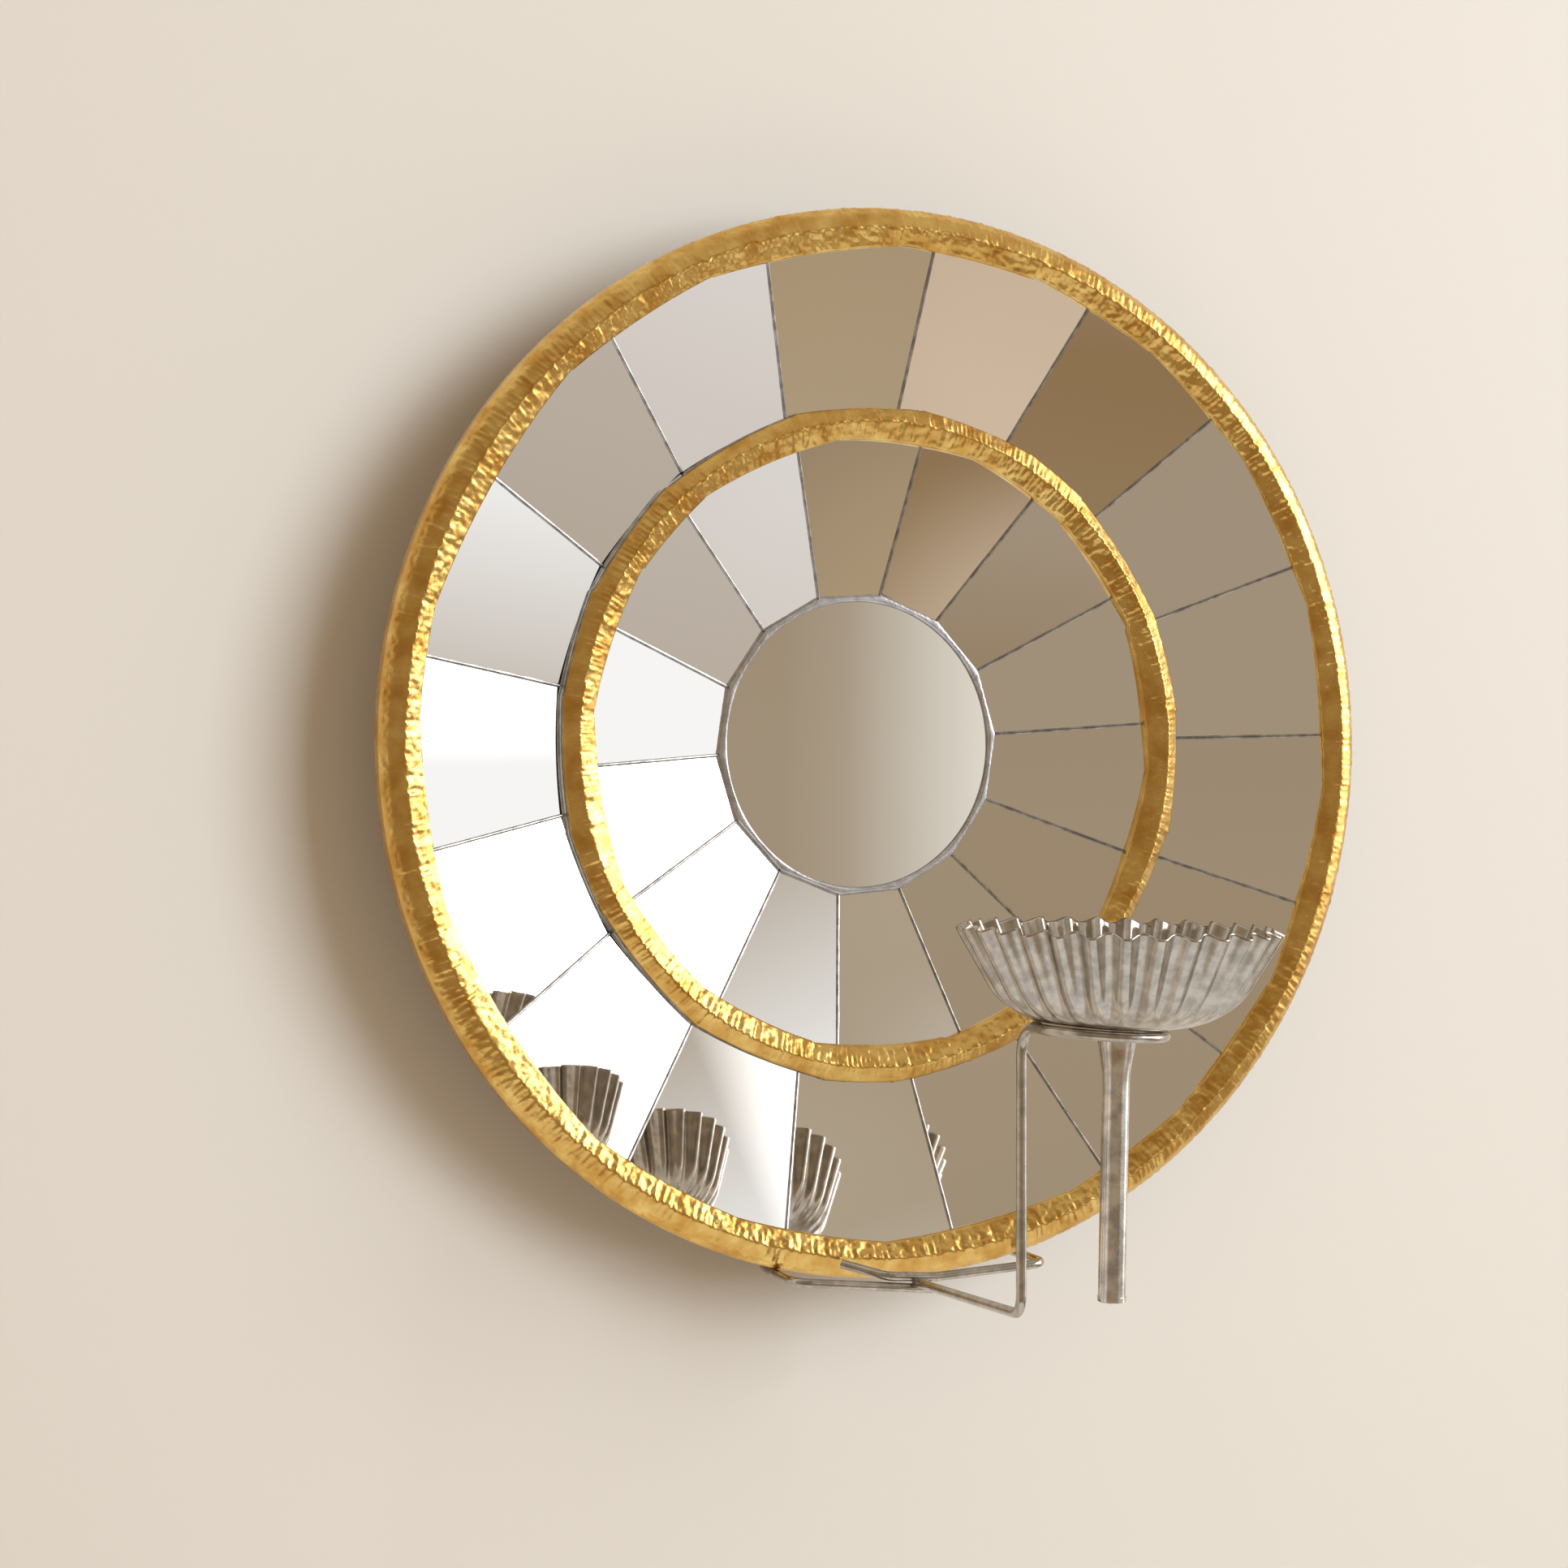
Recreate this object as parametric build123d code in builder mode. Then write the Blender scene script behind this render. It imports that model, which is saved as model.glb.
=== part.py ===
from build123d import *
import os
from math import atan, atan2, cos, degrees, hypot, pi, radians, sin, sqrt, tan

# Round concave faceted wall mirror with two hammered gilt rings and a candle pan
# that stands in a wire ring on a bracket under the rim.
#
# Frame: X to the right, Y into the wall, Z up. The origin is on the wall, in the middle
# of the felt disc. Lengths are in millimetres and angles in degrees. A "depth" is measured
# from the plane of the outer rim's inner lip towards the wall, on the mirror's own axis.

os.makedirs("parts", exist_ok=True)

# Outer rim
outer_diameter = 380.0
rim_width = 13.8          # from the inner lip to the outside
rim_ridge = 4.4           # ridge in front of the lip plane
rim_edge_drop = 0.6       # outer corner behind the lip plane
rim_wall = 11.0           # smooth side wall, lip plane to back edge
rim_wall_thickness = 4.0  # side wall around the dish
rim_back_round = 2.5

# Mirror glass
glass = 3.0
outer_facets = 17
inner_facets = 14
outer_first_seam = 107.1  # angle from +X towards +Z
inner_first_seam = 107.0
outer_slope = 22.0        # along the seams
inner_slope = 18.6
outer_reveal = 2.0        # lip above the glass, at a seam
glass_tuck = 1.1          # glass under the rim's lip
seat_clearance = 0.2

# Lead between the facets
seam_gap = 1.3
seam_proud = 0.4
seam_height = 2.2
lead_clearance = 0.03

# Inner ring, which covers the step between the two rows of facets
ring_outer_diameter = 245.6
ring_width = 12.8
ring_outer_wall = 6.7     # lip above the outer facets
ring_inner_wall = 3.4     # lip above the inner facets
ring_ridge = 3.3
ring_step = 2.5           # inner row in front of the outer row
ring_cover = 4.6          # how far the ring covers the outer facets
ring_tuck = 1.6           # inner facets under the ring
lip_sink = 0.6            # feet of the gilt lips behind the glass, at a seam
strip_thickness = 1.2     # bare lead round the ring's outer side
strip_below_lip = 0.7
cut_margin = 1.0          # how far a cutting solid passes what it cuts

# Middle of the dish
centre_frame_diameter = 112.0   # across the corners of the lead frame
centre_lead = 2.0         # lead frame's width, at its flats
centre_frame_proud = 1.6
dish_floor = 6.0
felt_thickness = 2.0
felt_margin = 8.0         # boss round the felt
boss_margin = 2.0         # boss outside the lead frame's corners
back_knee_in = 10.8       # bend of the back, inside the inner ring's outer edge
dish_wall = 4.82          # wood behind the outer facets, at that bend
rim_seat_depth = 1.0      # dish's front edge behind the lip plane
joint_shelf_width = 13.38 # shelf that the inner dish rests on
joint_shelf_wood = 1.0    # wood between the outer facets' ends and the shelf
dish_joint_clearance = 0.1
step_wall = 1.7           # inner dish outside its facets' pocket
step_recess = 1.2         # step's front behind the inner facets' corners

# Bracket wires
wire_diameter = 3.25
leg_spread = 29.2         # angle between the two legs, about the mirror's axis
leg_gap = 0.12            # wire to the rim's side wall
bar_stand = 15.4          # front bar in front of the lip plane
bar_bend = 5.5
leg_behind = 16.5         # depth at which a leg turns up behind the rim
leg_bend = 6.5
leg_lands_in = 25.0       # where a leg reaches the dish's back, in from the rim
leg_ends_in = 56.0
leg_land_bend = 20.0
left_bar_drop = 5.9       # the left bar dips to pass under the joint
left_bar_end = 3.5
right_bar_drop = 1.8
joint_x = 4.8             # butt joint of the right bar and the stop wire
stop_bend_x = -13.7
stop_rise = 1.5
stop_bend = 9.0
stop_end_x = -26.8
stop_end_in = 5.84        # its end, in from the rim's outside
stop_end_gap = 0.08       # cut end to the front of the rim
arm_start_x = -2.7
arm_in_front = 3.0        # the arm in front of the bars
arm_drop = 3.05           # its start below the legs' corners
riser_stand = 120.9
riser_foot_rise = 6.45    # above the legs' corners
riser_bend = 6.6
riser_top_bend = 9.0
candle_ring_diameter = 40.5        # to the middle of the wire
candle_ring_x = 3.9
candle_ring_z = -90.1
candle_ring_reach = 13.6           # ring's middle in front of the riser
candle_ring_tilt = 4.1
candle_ring_gap = 0.08    # cut end to the riser
braze_radius = 1.7
braze_length = 5.0
braze_shift = 1.2         # from the arm's end and from the bars

# Candle pan
pan_x = 10.0
pan_tilt = 1.25
pan_flutes = 30
pan_sheet = 0.8
pan_foot_radius = 17.5
pan_bowl_radius = 25.5
pan_flare = 28.7          # side wall from upright
pan_height = 30.5
flute_start_angle = 32.0  # where the flutes fade out, along the bowl's curve
flute_depth = 2.1         # at the rim, each way from the middle of the wall
flute_depth_low = 1.15    # where the bowl's curve ends
flute_depth_fade = 0.5
flute_runs = 6            # straight runs in one flute
flute_start_step = 0.02   # fluted wall outside the plain bowl, where they meet
rim_spare = 2.5           # wall above the rim, before it is trimmed
trim_reach = 12.0         # trimming solid outside the rim
pan_seat_gap = 0.15

# Candle tube under the pan
tube_radius = 4.28
tube_wall = 0.66
tube_length = 83.9
tube_flare = ((0.0, 6.9), (4.7, 5.95), (12.3, 4.72), (25.3, 4.28))  # below the pan, radius
tube_flare_start = (-0.5, -1.0)   # direction in which the flare leaves the pan
cap_radius = 4.48
cap_thickness = 1.7
cap_edge = 0.3
cap_seat = 5.0            # widened end of the bore, which takes the cap
cap_seat_step = 0.2
cap_spigot = 4.5
cap_clearance = 0.03

# Hanger on the back
hanger_in = 12.0          # knuckle, in from the joint of the two dishes
strap_width = 14.0
strap_length = 18.0
strap_thickness = 1.2
hang_wire = 2.3
hang_ring_width = 20.0    # to the middle of the wire
hang_ring_height = 20.0
hang_ring_bend = 3.0
hang_bore_clearance = 0.08
hang_ring_gap = 0.3
hanger_screw_rows = (6.0, 13.0)

# Clips and screws
clip_in = 43.0            # in from the rim
clip_width = 10.0
clip_span = 22.0
clip_sheet = 1.0
clip_clearance = 0.05
clip_screw_reach = 7.4
screw_head_radius = 2.8
screw_crown_radius = 1.9
screw_head_height = 1.8
screw_shank_radius = 1.4
screw_length = 5.2
screw_end_gap = 0.3
screw_clearance = 0.03

# Derived sizes of the mirror
rim_radius = outer_diameter / 2
lip_radius = rim_radius - rim_width
dish_radius = rim_radius - rim_wall_thickness
ring_radius = ring_outer_diameter / 2
ring_inner_radius = ring_radius - ring_width
frame_radius = centre_frame_diameter / 2
boss_radius = frame_radius + boss_margin
outer_half = 180 / outer_facets
inner_half = 180 / inner_facets
disc_radius = frame_radius * cos(radians(inner_half)) - centre_lead
outer_tan = tan(radians(outer_slope))
inner_tan = tan(radians(inner_slope))
outer_tilt = degrees(atan(outer_tan / cos(radians(outer_half))))
inner_tilt = degrees(atan(inner_tan / cos(radians(inner_half))))


def outer_depth(radius):
    """Depth of the outer facets' front, on a seam."""
    return outer_reveal + (lip_radius - radius) * outer_tan


inner_edge_depth = outer_depth(ring_radius) - ring_step


def inner_depth(radius):
    """Depth of the inner facets' front, on a seam."""
    return inner_edge_depth + (ring_inner_radius - radius) * inner_tan


outer_glass_axial = glass / cos(radians(outer_tilt))
inner_glass_axial = glass / cos(radians(inner_tilt))
floor_depth = inner_depth(frame_radius) + inner_glass_axial - lead_clearance
boss_depth = floor_depth + dish_floor
lip_height = boss_depth + felt_thickness
back_knee = ring_radius - back_knee_in
back_knee_depth = outer_depth(back_knee) + outer_glass_axial + dish_wall
back_edge_slope = (back_knee_depth - rim_wall) / (dish_radius - back_knee)
back_boss_slope = (boss_depth - back_knee_depth) / (back_knee - boss_radius)

# Radii to the flats of the glass and of the pockets that it lies in
outer_glass_flat = lip_radius + glass_tuck
outer_pocket_flat = outer_glass_flat + glass * sin(radians(outer_tilt)) + seat_clearance
outer_glass_inner_flat = ring_radius - ring_cover
inner_glass_flat = ring_inner_radius + ring_tuck
inner_pocket_flat = inner_glass_flat + glass * sin(radians(inner_tilt)) + seat_clearance
inner_glass_inner_flat = frame_radius * cos(radians(inner_half)) + lead_clearance
inner_pocket_corner = inner_pocket_flat / cos(radians(inner_half))
step_radius = inner_pocket_corner + step_wall
step_depth = inner_depth(inner_pocket_corner) + step_recess
dish_joint_radius = step_radius - joint_shelf_width
dish_joint_depth = outer_depth(step_radius) + outer_glass_axial + joint_shelf_wood
clip_radius = rim_radius - clip_in
hanger_radius = dish_joint_radius - hanger_in


def back_depth(radius):
    """Depth of the dish's back."""
    if radius > back_knee:
        return back_knee_depth - (radius - back_knee) * back_edge_slope
    return back_knee_depth + (back_knee - radius) * back_boss_slope


def front_plane(depth):
    """Plane across the mirror's axis, facing the viewer, with local x and y on X and Z."""
    return Plane.XZ.offset(lip_height - depth)


def at(radius, depth):
    """Point of a turned profile, which is drawn on X and Y."""
    return (radius, depth - lip_height)


def polar_point(radius, angle, depth):
    return Vector(radius * cos(radians(angle)), depth - lip_height, radius * sin(radians(angle)))


def corners(radius, count, first):
    """Corners of a regular polygon, one on each seam."""
    steps = [radians(first + i * 360 / count) for i in range(count)]
    return [(radius * cos(a), radius * sin(a)) for a in steps]


def facet_plane(angle, flat, depth, tilt):
    """Front of a facet: x along the rim, y up the slope, z towards the viewer."""
    a, t = radians(angle), radians(tilt)
    normal = Vector(-sin(t) * cos(a), -cos(t), -sin(t) * sin(a))
    along = Vector(sin(a), 0, -cos(a))
    return Plane(origin=polar_point(flat, angle, depth), x_dir=along, z_dir=normal)


def back_plane(angle, radius):
    """Plane on the dish's back: x round the rim, y outwards, z out of the back."""
    a = radians(angle)
    slope = back_edge_slope if radius > back_knee else back_boss_slope
    b = atan(slope)
    normal = Vector(sin(b) * cos(a), cos(b), sin(b) * sin(a))
    around = Vector(-sin(a), 0, cos(a))
    return Plane(origin=polar_point(radius, angle, back_depth(radius)), x_dir=around, z_dir=normal)


def faceted_space(count, first, wide, wide_depth, narrow, narrow_depth):
    """Solid in front of a row of facets, between two depths, given by its corner radii."""
    with BuildPart() as space:
        with BuildSketch(front_plane(wide_depth)):
            Polygon(*corners(wide, count, first), align=None)
        with BuildSketch(front_plane(narrow_depth)):
            Polygon(*corners(narrow, count, first), align=None)
        loft(ruled=True)
    return space.part


def outer_corner(depth):
    """Corner radius at which the outer facets' front has a depth."""
    return lip_radius - (depth - outer_reveal) / outer_tan


def inner_corner(depth):
    return ring_inner_radius - (depth - inner_edge_depth) / inner_tan


# Outer dish: a turned ring of wood whose front is cut to seventeen flats
outer_pocket_corner = outer_pocket_flat / cos(radians(outer_half))
outer_seat_depth = outer_depth(outer_pocket_corner) + outer_glass_axial
outer_seat_narrow = outer_corner(dish_joint_depth - outer_glass_axial)
joint_bore = dish_joint_radius + dish_joint_clearance
with BuildPart() as outer_dish:
    with BuildSketch(Plane.XY):
        with BuildLine():
            Polyline(
                at(joint_bore, rim_seat_depth), at(dish_radius, rim_seat_depth),
                at(dish_radius, rim_wall), at(back_knee, back_knee_depth),
                at(joint_bore, back_depth(joint_bore)), close=True)
        make_face()
    revolve(axis=Axis.Y)
    with BuildSketch(front_plane(rim_seat_depth)):
        Polygon(*corners(outer_pocket_corner, outer_facets, outer_first_seam), align=None)
    extrude(amount=rim_seat_depth - outer_seat_depth, mode=Mode.SUBTRACT)
    add(faceted_space(outer_facets, outer_first_seam, outer_pocket_corner, outer_seat_depth,
                      outer_seat_narrow, dish_joint_depth), mode=Mode.SUBTRACT)
    with BuildSketch(front_plane(rim_seat_depth)):
        Circle(step_radius + dish_joint_clearance)
    extrude(amount=rim_seat_depth - dish_joint_depth, mode=Mode.SUBTRACT)
    for side in (-1, 1):
        for reach in (-clip_screw_reach, clip_screw_reach):
            place = back_plane(-90 + side * leg_spread / 2, clip_radius)
            with Locations(place.location * Location((reach, 0, 0))):
                Hole(screw_shank_radius + screw_clearance, depth=screw_length)

# Inner dish: a turned disc let into the outer dish, cut to fourteen flats
inner_seat_depth = inner_depth(inner_pocket_corner) + inner_glass_axial
inner_seat_narrow = inner_corner(floor_depth - inner_glass_axial)
with BuildPart() as inner_dish:
    with BuildSketch(Plane.XY):
        with BuildLine():
            Polyline(
                at(0, step_depth), at(step_radius, step_depth),
                at(step_radius, dish_joint_depth), at(dish_joint_radius, dish_joint_depth),
                at(dish_joint_radius, back_depth(dish_joint_radius)),
                at(boss_radius, boss_depth), at(0, boss_depth), close=True)
        make_face()
    revolve(axis=Axis.Y)
    with BuildSketch(front_plane(step_depth)):
        Polygon(*corners(inner_pocket_corner, inner_facets, inner_first_seam), align=None)
    extrude(amount=step_depth - inner_seat_depth, mode=Mode.SUBTRACT)
    add(faceted_space(inner_facets, inner_first_seam, inner_pocket_corner, inner_seat_depth,
                      inner_seat_narrow, floor_depth), mode=Mode.SUBTRACT)
    for row in hanger_screw_rows:
        with Locations(back_plane(90, hanger_radius).location * Location((0, -row, 0))):
            Hole(screw_shank_radius + screw_clearance, depth=screw_length)

outer_dish.part.label = "outer_dish"
export_step(outer_dish.part, "parts/outer_dish.step")
inner_dish.part.label = "inner_dish"
export_step(inner_dish.part, "parts/inner_dish.step")

# Outer rim: a ridged moulding with a lip over the glass and a smooth wall round the dish
pocket_front_depth = outer_depth(outer_pocket_corner)
lip_foot = outer_reveal + lip_sink
rim_mid = lip_radius + rim_width / 2
with BuildPart() as glass_under_rim:
    with BuildSketch(front_plane(pocket_front_depth)):
        Polygon(*corners(outer_pocket_corner, outer_facets, outer_first_seam), align=None)
    extrude(amount=pocket_front_depth - lip_foot)
    add(faceted_space(outer_facets, outer_first_seam, outer_pocket_corner, pocket_front_depth,
                      outer_corner(lip_foot), lip_foot), mode=Mode.SUBTRACT)
with BuildPart() as outer_rim:
    with BuildSketch(Plane.XY):
        with BuildLine():
            Polyline(
                at(dish_radius, rim_wall), at(dish_radius, lip_foot), at(lip_radius, lip_foot),
                at(lip_radius, 0), at(rim_mid, -rim_ridge), at(rim_radius, rim_edge_drop),
                at(rim_radius, rim_wall - rim_back_round))
            back_arc = CenterArc(at(rim_radius - rim_back_round, rim_wall - rim_back_round),
                                 rim_back_round, 0, 90)
            Line(back_arc @ 1, at(dish_radius, rim_wall))
        make_face()
    revolve(axis=Axis.Y)
    add(outer_dish.part, mode=Mode.SUBTRACT)
    add(glass_under_rim.part, mode=Mode.SUBTRACT)
outer_rim.part.label = "outer_rim"
export_step(outer_rim.part, "parts/outer_rim.step")

# Inner ring: the same ridged section, seated on both rows of glass and on the step
outer_lip_depth = outer_depth(ring_radius) - ring_outer_wall
inner_lip_depth = inner_edge_depth - ring_inner_wall
ring_mid = ring_radius - ring_width / 2
ring_ridge_depth = min(outer_lip_depth, inner_lip_depth) - ring_ridge
strip_inner = ring_radius - strip_thickness
ring_foot_outer = outer_depth(outer_glass_inner_flat) + cut_margin
ring_foot_inner = inner_edge_depth + lip_sink
space_top = ring_ridge_depth - cut_margin
with BuildPart() as ring_on_outer_glass:
    with BuildSketch(Plane.XY):
        with BuildLine():
            Polyline(
                at(step_radius, ring_foot_outer), at(strip_inner, ring_foot_outer),
                at(strip_inner, outer_lip_depth + strip_below_lip),
                at(ring_radius, outer_lip_depth + strip_below_lip),
                at(ring_radius, outer_lip_depth), at(step_radius, outer_lip_depth), close=True)
        make_face()
    revolve(axis=Axis.Y)
    add(faceted_space(outer_facets, outer_first_seam, outer_corner(space_top), space_top,
                      outer_corner(ring_foot_outer + cut_margin), ring_foot_outer + cut_margin),
        mode=Mode.INTERSECT)
with BuildPart() as ring_on_inner_glass:
    with BuildSketch(Plane.XY):
        with BuildLine():
            Polyline(
                at(ring_inner_radius, ring_foot_inner), at(step_radius, ring_foot_inner),
                at(step_radius, inner_lip_depth), at(ring_inner_radius, inner_lip_depth),
                close=True)
        make_face()
    revolve(axis=Axis.Y)
    add(faceted_space(inner_facets, inner_first_seam, inner_corner(space_top), space_top,
                      inner_corner(ring_foot_inner + cut_margin), ring_foot_inner + cut_margin),
        mode=Mode.INTERSECT)
    add(inner_dish.part, mode=Mode.SUBTRACT)
with BuildPart() as inner_ring:
    with BuildSketch(Plane.XY):
        with BuildLine():
            Polyline(
                at(ring_inner_radius, inner_lip_depth), at(ring_mid, ring_ridge_depth),
                at(ring_radius, outer_lip_depth), at(step_radius, outer_lip_depth),
                at(step_radius, inner_lip_depth), close=True)
        make_face()
    revolve(axis=Axis.Y)
    add(ring_on_outer_glass.part)
    add(ring_on_inner_glass.part)
inner_ring.part.label = "inner_ring"
export_step(inner_ring.part, "parts/inner_ring.step")

# Bare lead strip round the outer side of the inner ring
with BuildPart() as ring_side_strip:
    with BuildSketch(Plane.XY):
        with BuildLine():
            Polyline(
                at(strip_inner, ring_foot_outer), at(ring_radius, ring_foot_outer),
                at(ring_radius, outer_lip_depth + strip_below_lip),
                at(strip_inner, outer_lip_depth + strip_below_lip), close=True)
        make_face()
    revolve(axis=Axis.Y)
    add(faceted_space(outer_facets, outer_first_seam, outer_corner(space_top), space_top,
                      outer_corner(ring_foot_outer + cut_margin), ring_foot_outer + cut_margin),
        mode=Mode.INTERSECT)
ring_side_strip.part.label = "ring_side_strip"
export_step(ring_side_strip.part, "parts/ring_side_strip.step")


def facet_outline(low_flat, high_flat, half_angle, tilt):
    """Corners of a facet in its own plane, whose origin is on the high edge."""
    t, h = radians(tilt), tan(radians(half_angle))
    side = (seam_gap / 2) * sqrt(1 + (cos(t) * h) ** 2)
    low = (low_flat - high_flat) / cos(t)
    return [(-(high_flat * h - side), 0), (high_flat * h - side, 0),
            (low_flat * h - side, low), (-(low_flat * h - side), low)]


# Mirror facets, numbered clockwise from the first seam past the top
outer_edge_depth = outer_depth(outer_glass_flat / cos(radians(outer_half)))
for number in range(outer_facets):
    middle = outer_first_seam - (number + 0.5) * 360 / outer_facets
    with BuildPart() as outer_facet:
        with BuildSketch(facet_plane(middle, outer_glass_flat, outer_edge_depth, outer_tilt)):
            Polygon(*facet_outline(outer_glass_inner_flat, outer_glass_flat, outer_half,
                                   outer_tilt), align=None)
        extrude(amount=-glass)
    outer_facet.part.label = f"outer_facet_{number + 1:02d}"
    export_step(outer_facet.part, f"parts/outer_facet_{number + 1:02d}.step")

inner_glass_depth = inner_depth(inner_glass_flat / cos(radians(inner_half)))
for number in range(inner_facets):
    middle = inner_first_seam - (number + 0.5) * 360 / inner_facets
    with BuildPart() as inner_facet:
        with BuildSketch(facet_plane(middle, inner_glass_flat, inner_glass_depth, inner_tilt)):
            Polygon(*facet_outline(inner_glass_inner_flat, inner_glass_flat, inner_half,
                                   inner_tilt), align=None)
        extrude(amount=-glass)
    inner_facet.part.label = f"inner_facet_{number + 1:02d}"
    export_step(inner_facet.part, f"parts/inner_facet_{number + 1:02d}.step")


def seam_strip(angle, low_radius, high_radius, low_depth, high_depth):
    """One lead strip along a seam, square to the seam's own slope."""
    start = polar_point(low_radius, angle, low_depth)
    end = polar_point(high_radius, angle, high_depth)
    a = radians(angle)
    across = Vector(-sin(a), 0, cos(a))
    with BuildPart() as strip:
        with BuildSketch(Plane(origin=start, x_dir=across, z_dir=end - start)):
            with Locations((0, (seam_height / 2 - seam_proud))):
                Rectangle(seam_gap - 2 * lead_clearance, seam_height)
        extrude(amount=(end - start).length)
    return strip.part


mirror_axis = Location((0, 0, 0), (90, 0, 0))
with BuildPart() as outer_seams:
    for number in range(outer_facets):
        low = ring_radius - seam_height
        high = lip_radius - lead_clearance - seam_proud
        add(seam_strip(outer_first_seam - number * 360 / outer_facets, low, high,
                       outer_depth(low), outer_depth(high)))
    with Locations(mirror_axis):
        Cylinder(ring_radius + lead_clearance, outer_diameter, mode=Mode.SUBTRACT)
outer_seams.part.label = "outer_seams"
export_step(outer_seams.part, "parts/outer_seams.step")

with BuildPart() as inner_seams:
    for number in range(inner_facets):
        low = frame_radius - seam_height
        high = ring_inner_radius - lead_clearance - seam_proud
        add(seam_strip(inner_first_seam - number * 360 / inner_facets, low, high,
                       inner_depth(low), inner_depth(high)))
    with Locations(mirror_axis):
        Cylinder(frame_radius, outer_diameter, mode=Mode.SUBTRACT)
inner_seams.part.label = "inner_seams"
export_step(inner_seams.part, "parts/inner_seams.step")

# Middle: a lead frame, fourteen-sided outside and round inside, and the round mirror in it
frame_front_depth = inner_depth(frame_radius) - centre_frame_proud
with BuildPart() as centre_frame:
    with BuildSketch(front_plane(floor_depth)):
        Polygon(*corners(frame_radius - lead_clearance, inner_facets, inner_first_seam),
                align=None)
        Circle(disc_radius + lead_clearance, mode=Mode.SUBTRACT)
    extrude(amount=floor_depth - frame_front_depth)
centre_frame.part.label = "centre_frame"
export_step(centre_frame.part, "parts/centre_frame.step")

with BuildPart() as centre_mirror:
    with BuildSketch(front_plane(floor_depth)):
        Circle(disc_radius)
    extrude(amount=glass)
centre_mirror.part.label = "centre_mirror"
export_step(centre_mirror.part, "parts/centre_mirror.step")

# Felt disc between the dish and the wall
with BuildPart() as felt_disc:
    with BuildSketch(Plane.XZ):
        Circle(boss_radius - felt_margin)
    extrude(amount=felt_thickness)
felt_disc.part.label = "felt_disc"
export_step(felt_disc.part, "parts/felt_disc.step")

# Bracket legs: from the joint, along the front bar, back under the rim, up the dish's back
wire_radius = wire_diameter / 2
leg_radius = rim_radius + leg_gap + wire_radius
back_lift = (wire_radius + clip_clearance) / cos(atan(back_edge_slope))


def on_back(radius, angle):
    return polar_point(radius, angle, back_depth(radius) + back_lift)


def leg_points(angle, joint_end):
    return [joint_end,
            polar_point(leg_radius, angle, -bar_stand),
            polar_point(leg_radius, angle, leg_behind),
            on_back(rim_radius - leg_lands_in, angle),
            on_back(rim_radius - leg_ends_in, angle)]


bar_y = -bar_stand - lip_height
left_angle = -90 - leg_spread / 2
right_angle = -90 + leg_spread / 2
corner_z = leg_radius * sin(radians(left_angle))
left_end = Vector(left_bar_end, bar_y, corner_z - left_bar_drop)
right_end = Vector(joint_x, bar_y, corner_z - right_bar_drop)

with BuildPart() as left_leg_wire:
    with BuildLine() as left_path:
        FilletPolyline(*leg_points(left_angle, left_end),
                       radius=[bar_bend, leg_bend, leg_land_bend])
    with BuildSketch(Plane(origin=left_path.line @ 0, z_dir=left_path.line % 0)):
        Circle(wire_radius)
    sweep()
left_leg_wire.part.label = "left_leg_wire"
export_step(left_leg_wire.part, "parts/left_leg_wire.step")

with BuildPart() as right_leg_wire:
    with BuildLine() as right_path:
        FilletPolyline(*leg_points(right_angle, right_end),
                       radius=[bar_bend, leg_bend, leg_land_bend])
    with BuildSketch(Plane(origin=right_path.line @ 0, z_dir=right_path.line % 0)):
        Circle(wire_radius)
    sweep()
right_leg_wire.part.label = "right_leg_wire"
export_step(right_leg_wire.part, "parts/right_leg_wire.step")

# Stop wire: from the joint to the front of the rim, which its cut end rests against
stop_end_radius = rim_radius - stop_end_in
stop_end_z = -sqrt(stop_end_radius ** 2 - stop_end_x ** 2)
rim_front_slope = (rim_edge_drop + rim_ridge) / (rim_radius - rim_mid)
rim_front = (stop_end_radius - rim_mid) * rim_front_slope - rim_ridge
stop_bend_point = Vector(stop_bend_x, bar_y, right_end.Z + stop_rise)
rim_normal = Vector(stop_end_x / stop_end_radius * rim_front_slope, -1,
                    stop_end_z / stop_end_radius * rim_front_slope).normalized()


def stop_end_at(stand):
    return Vector(stop_end_x, rim_front - stand - lip_height, stop_end_z)


stop_along = (stop_end_at(2 * wire_radius) - stop_bend_point).normalized().dot(rim_normal)
stop_reach = wire_radius * sqrt(1 - stop_along ** 2) + stop_end_gap
stop_end = stop_end_at(stop_reach / abs(rim_normal.Y))
with BuildPart() as stop_wire:
    with BuildLine() as stop_path:
        FilletPolyline(right_end,
                       stop_bend_point, stop_end, radius=[stop_bend])
    with BuildSketch(Plane(origin=stop_path.line @ 0, z_dir=stop_path.line % 0)):
        Circle(wire_radius)
    sweep()
    add(right_leg_wire.part, mode=Mode.SUBTRACT)
stop_wire.part.label = "stop_wire"
export_step(stop_wire.part, "parts/stop_wire.step")

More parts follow.
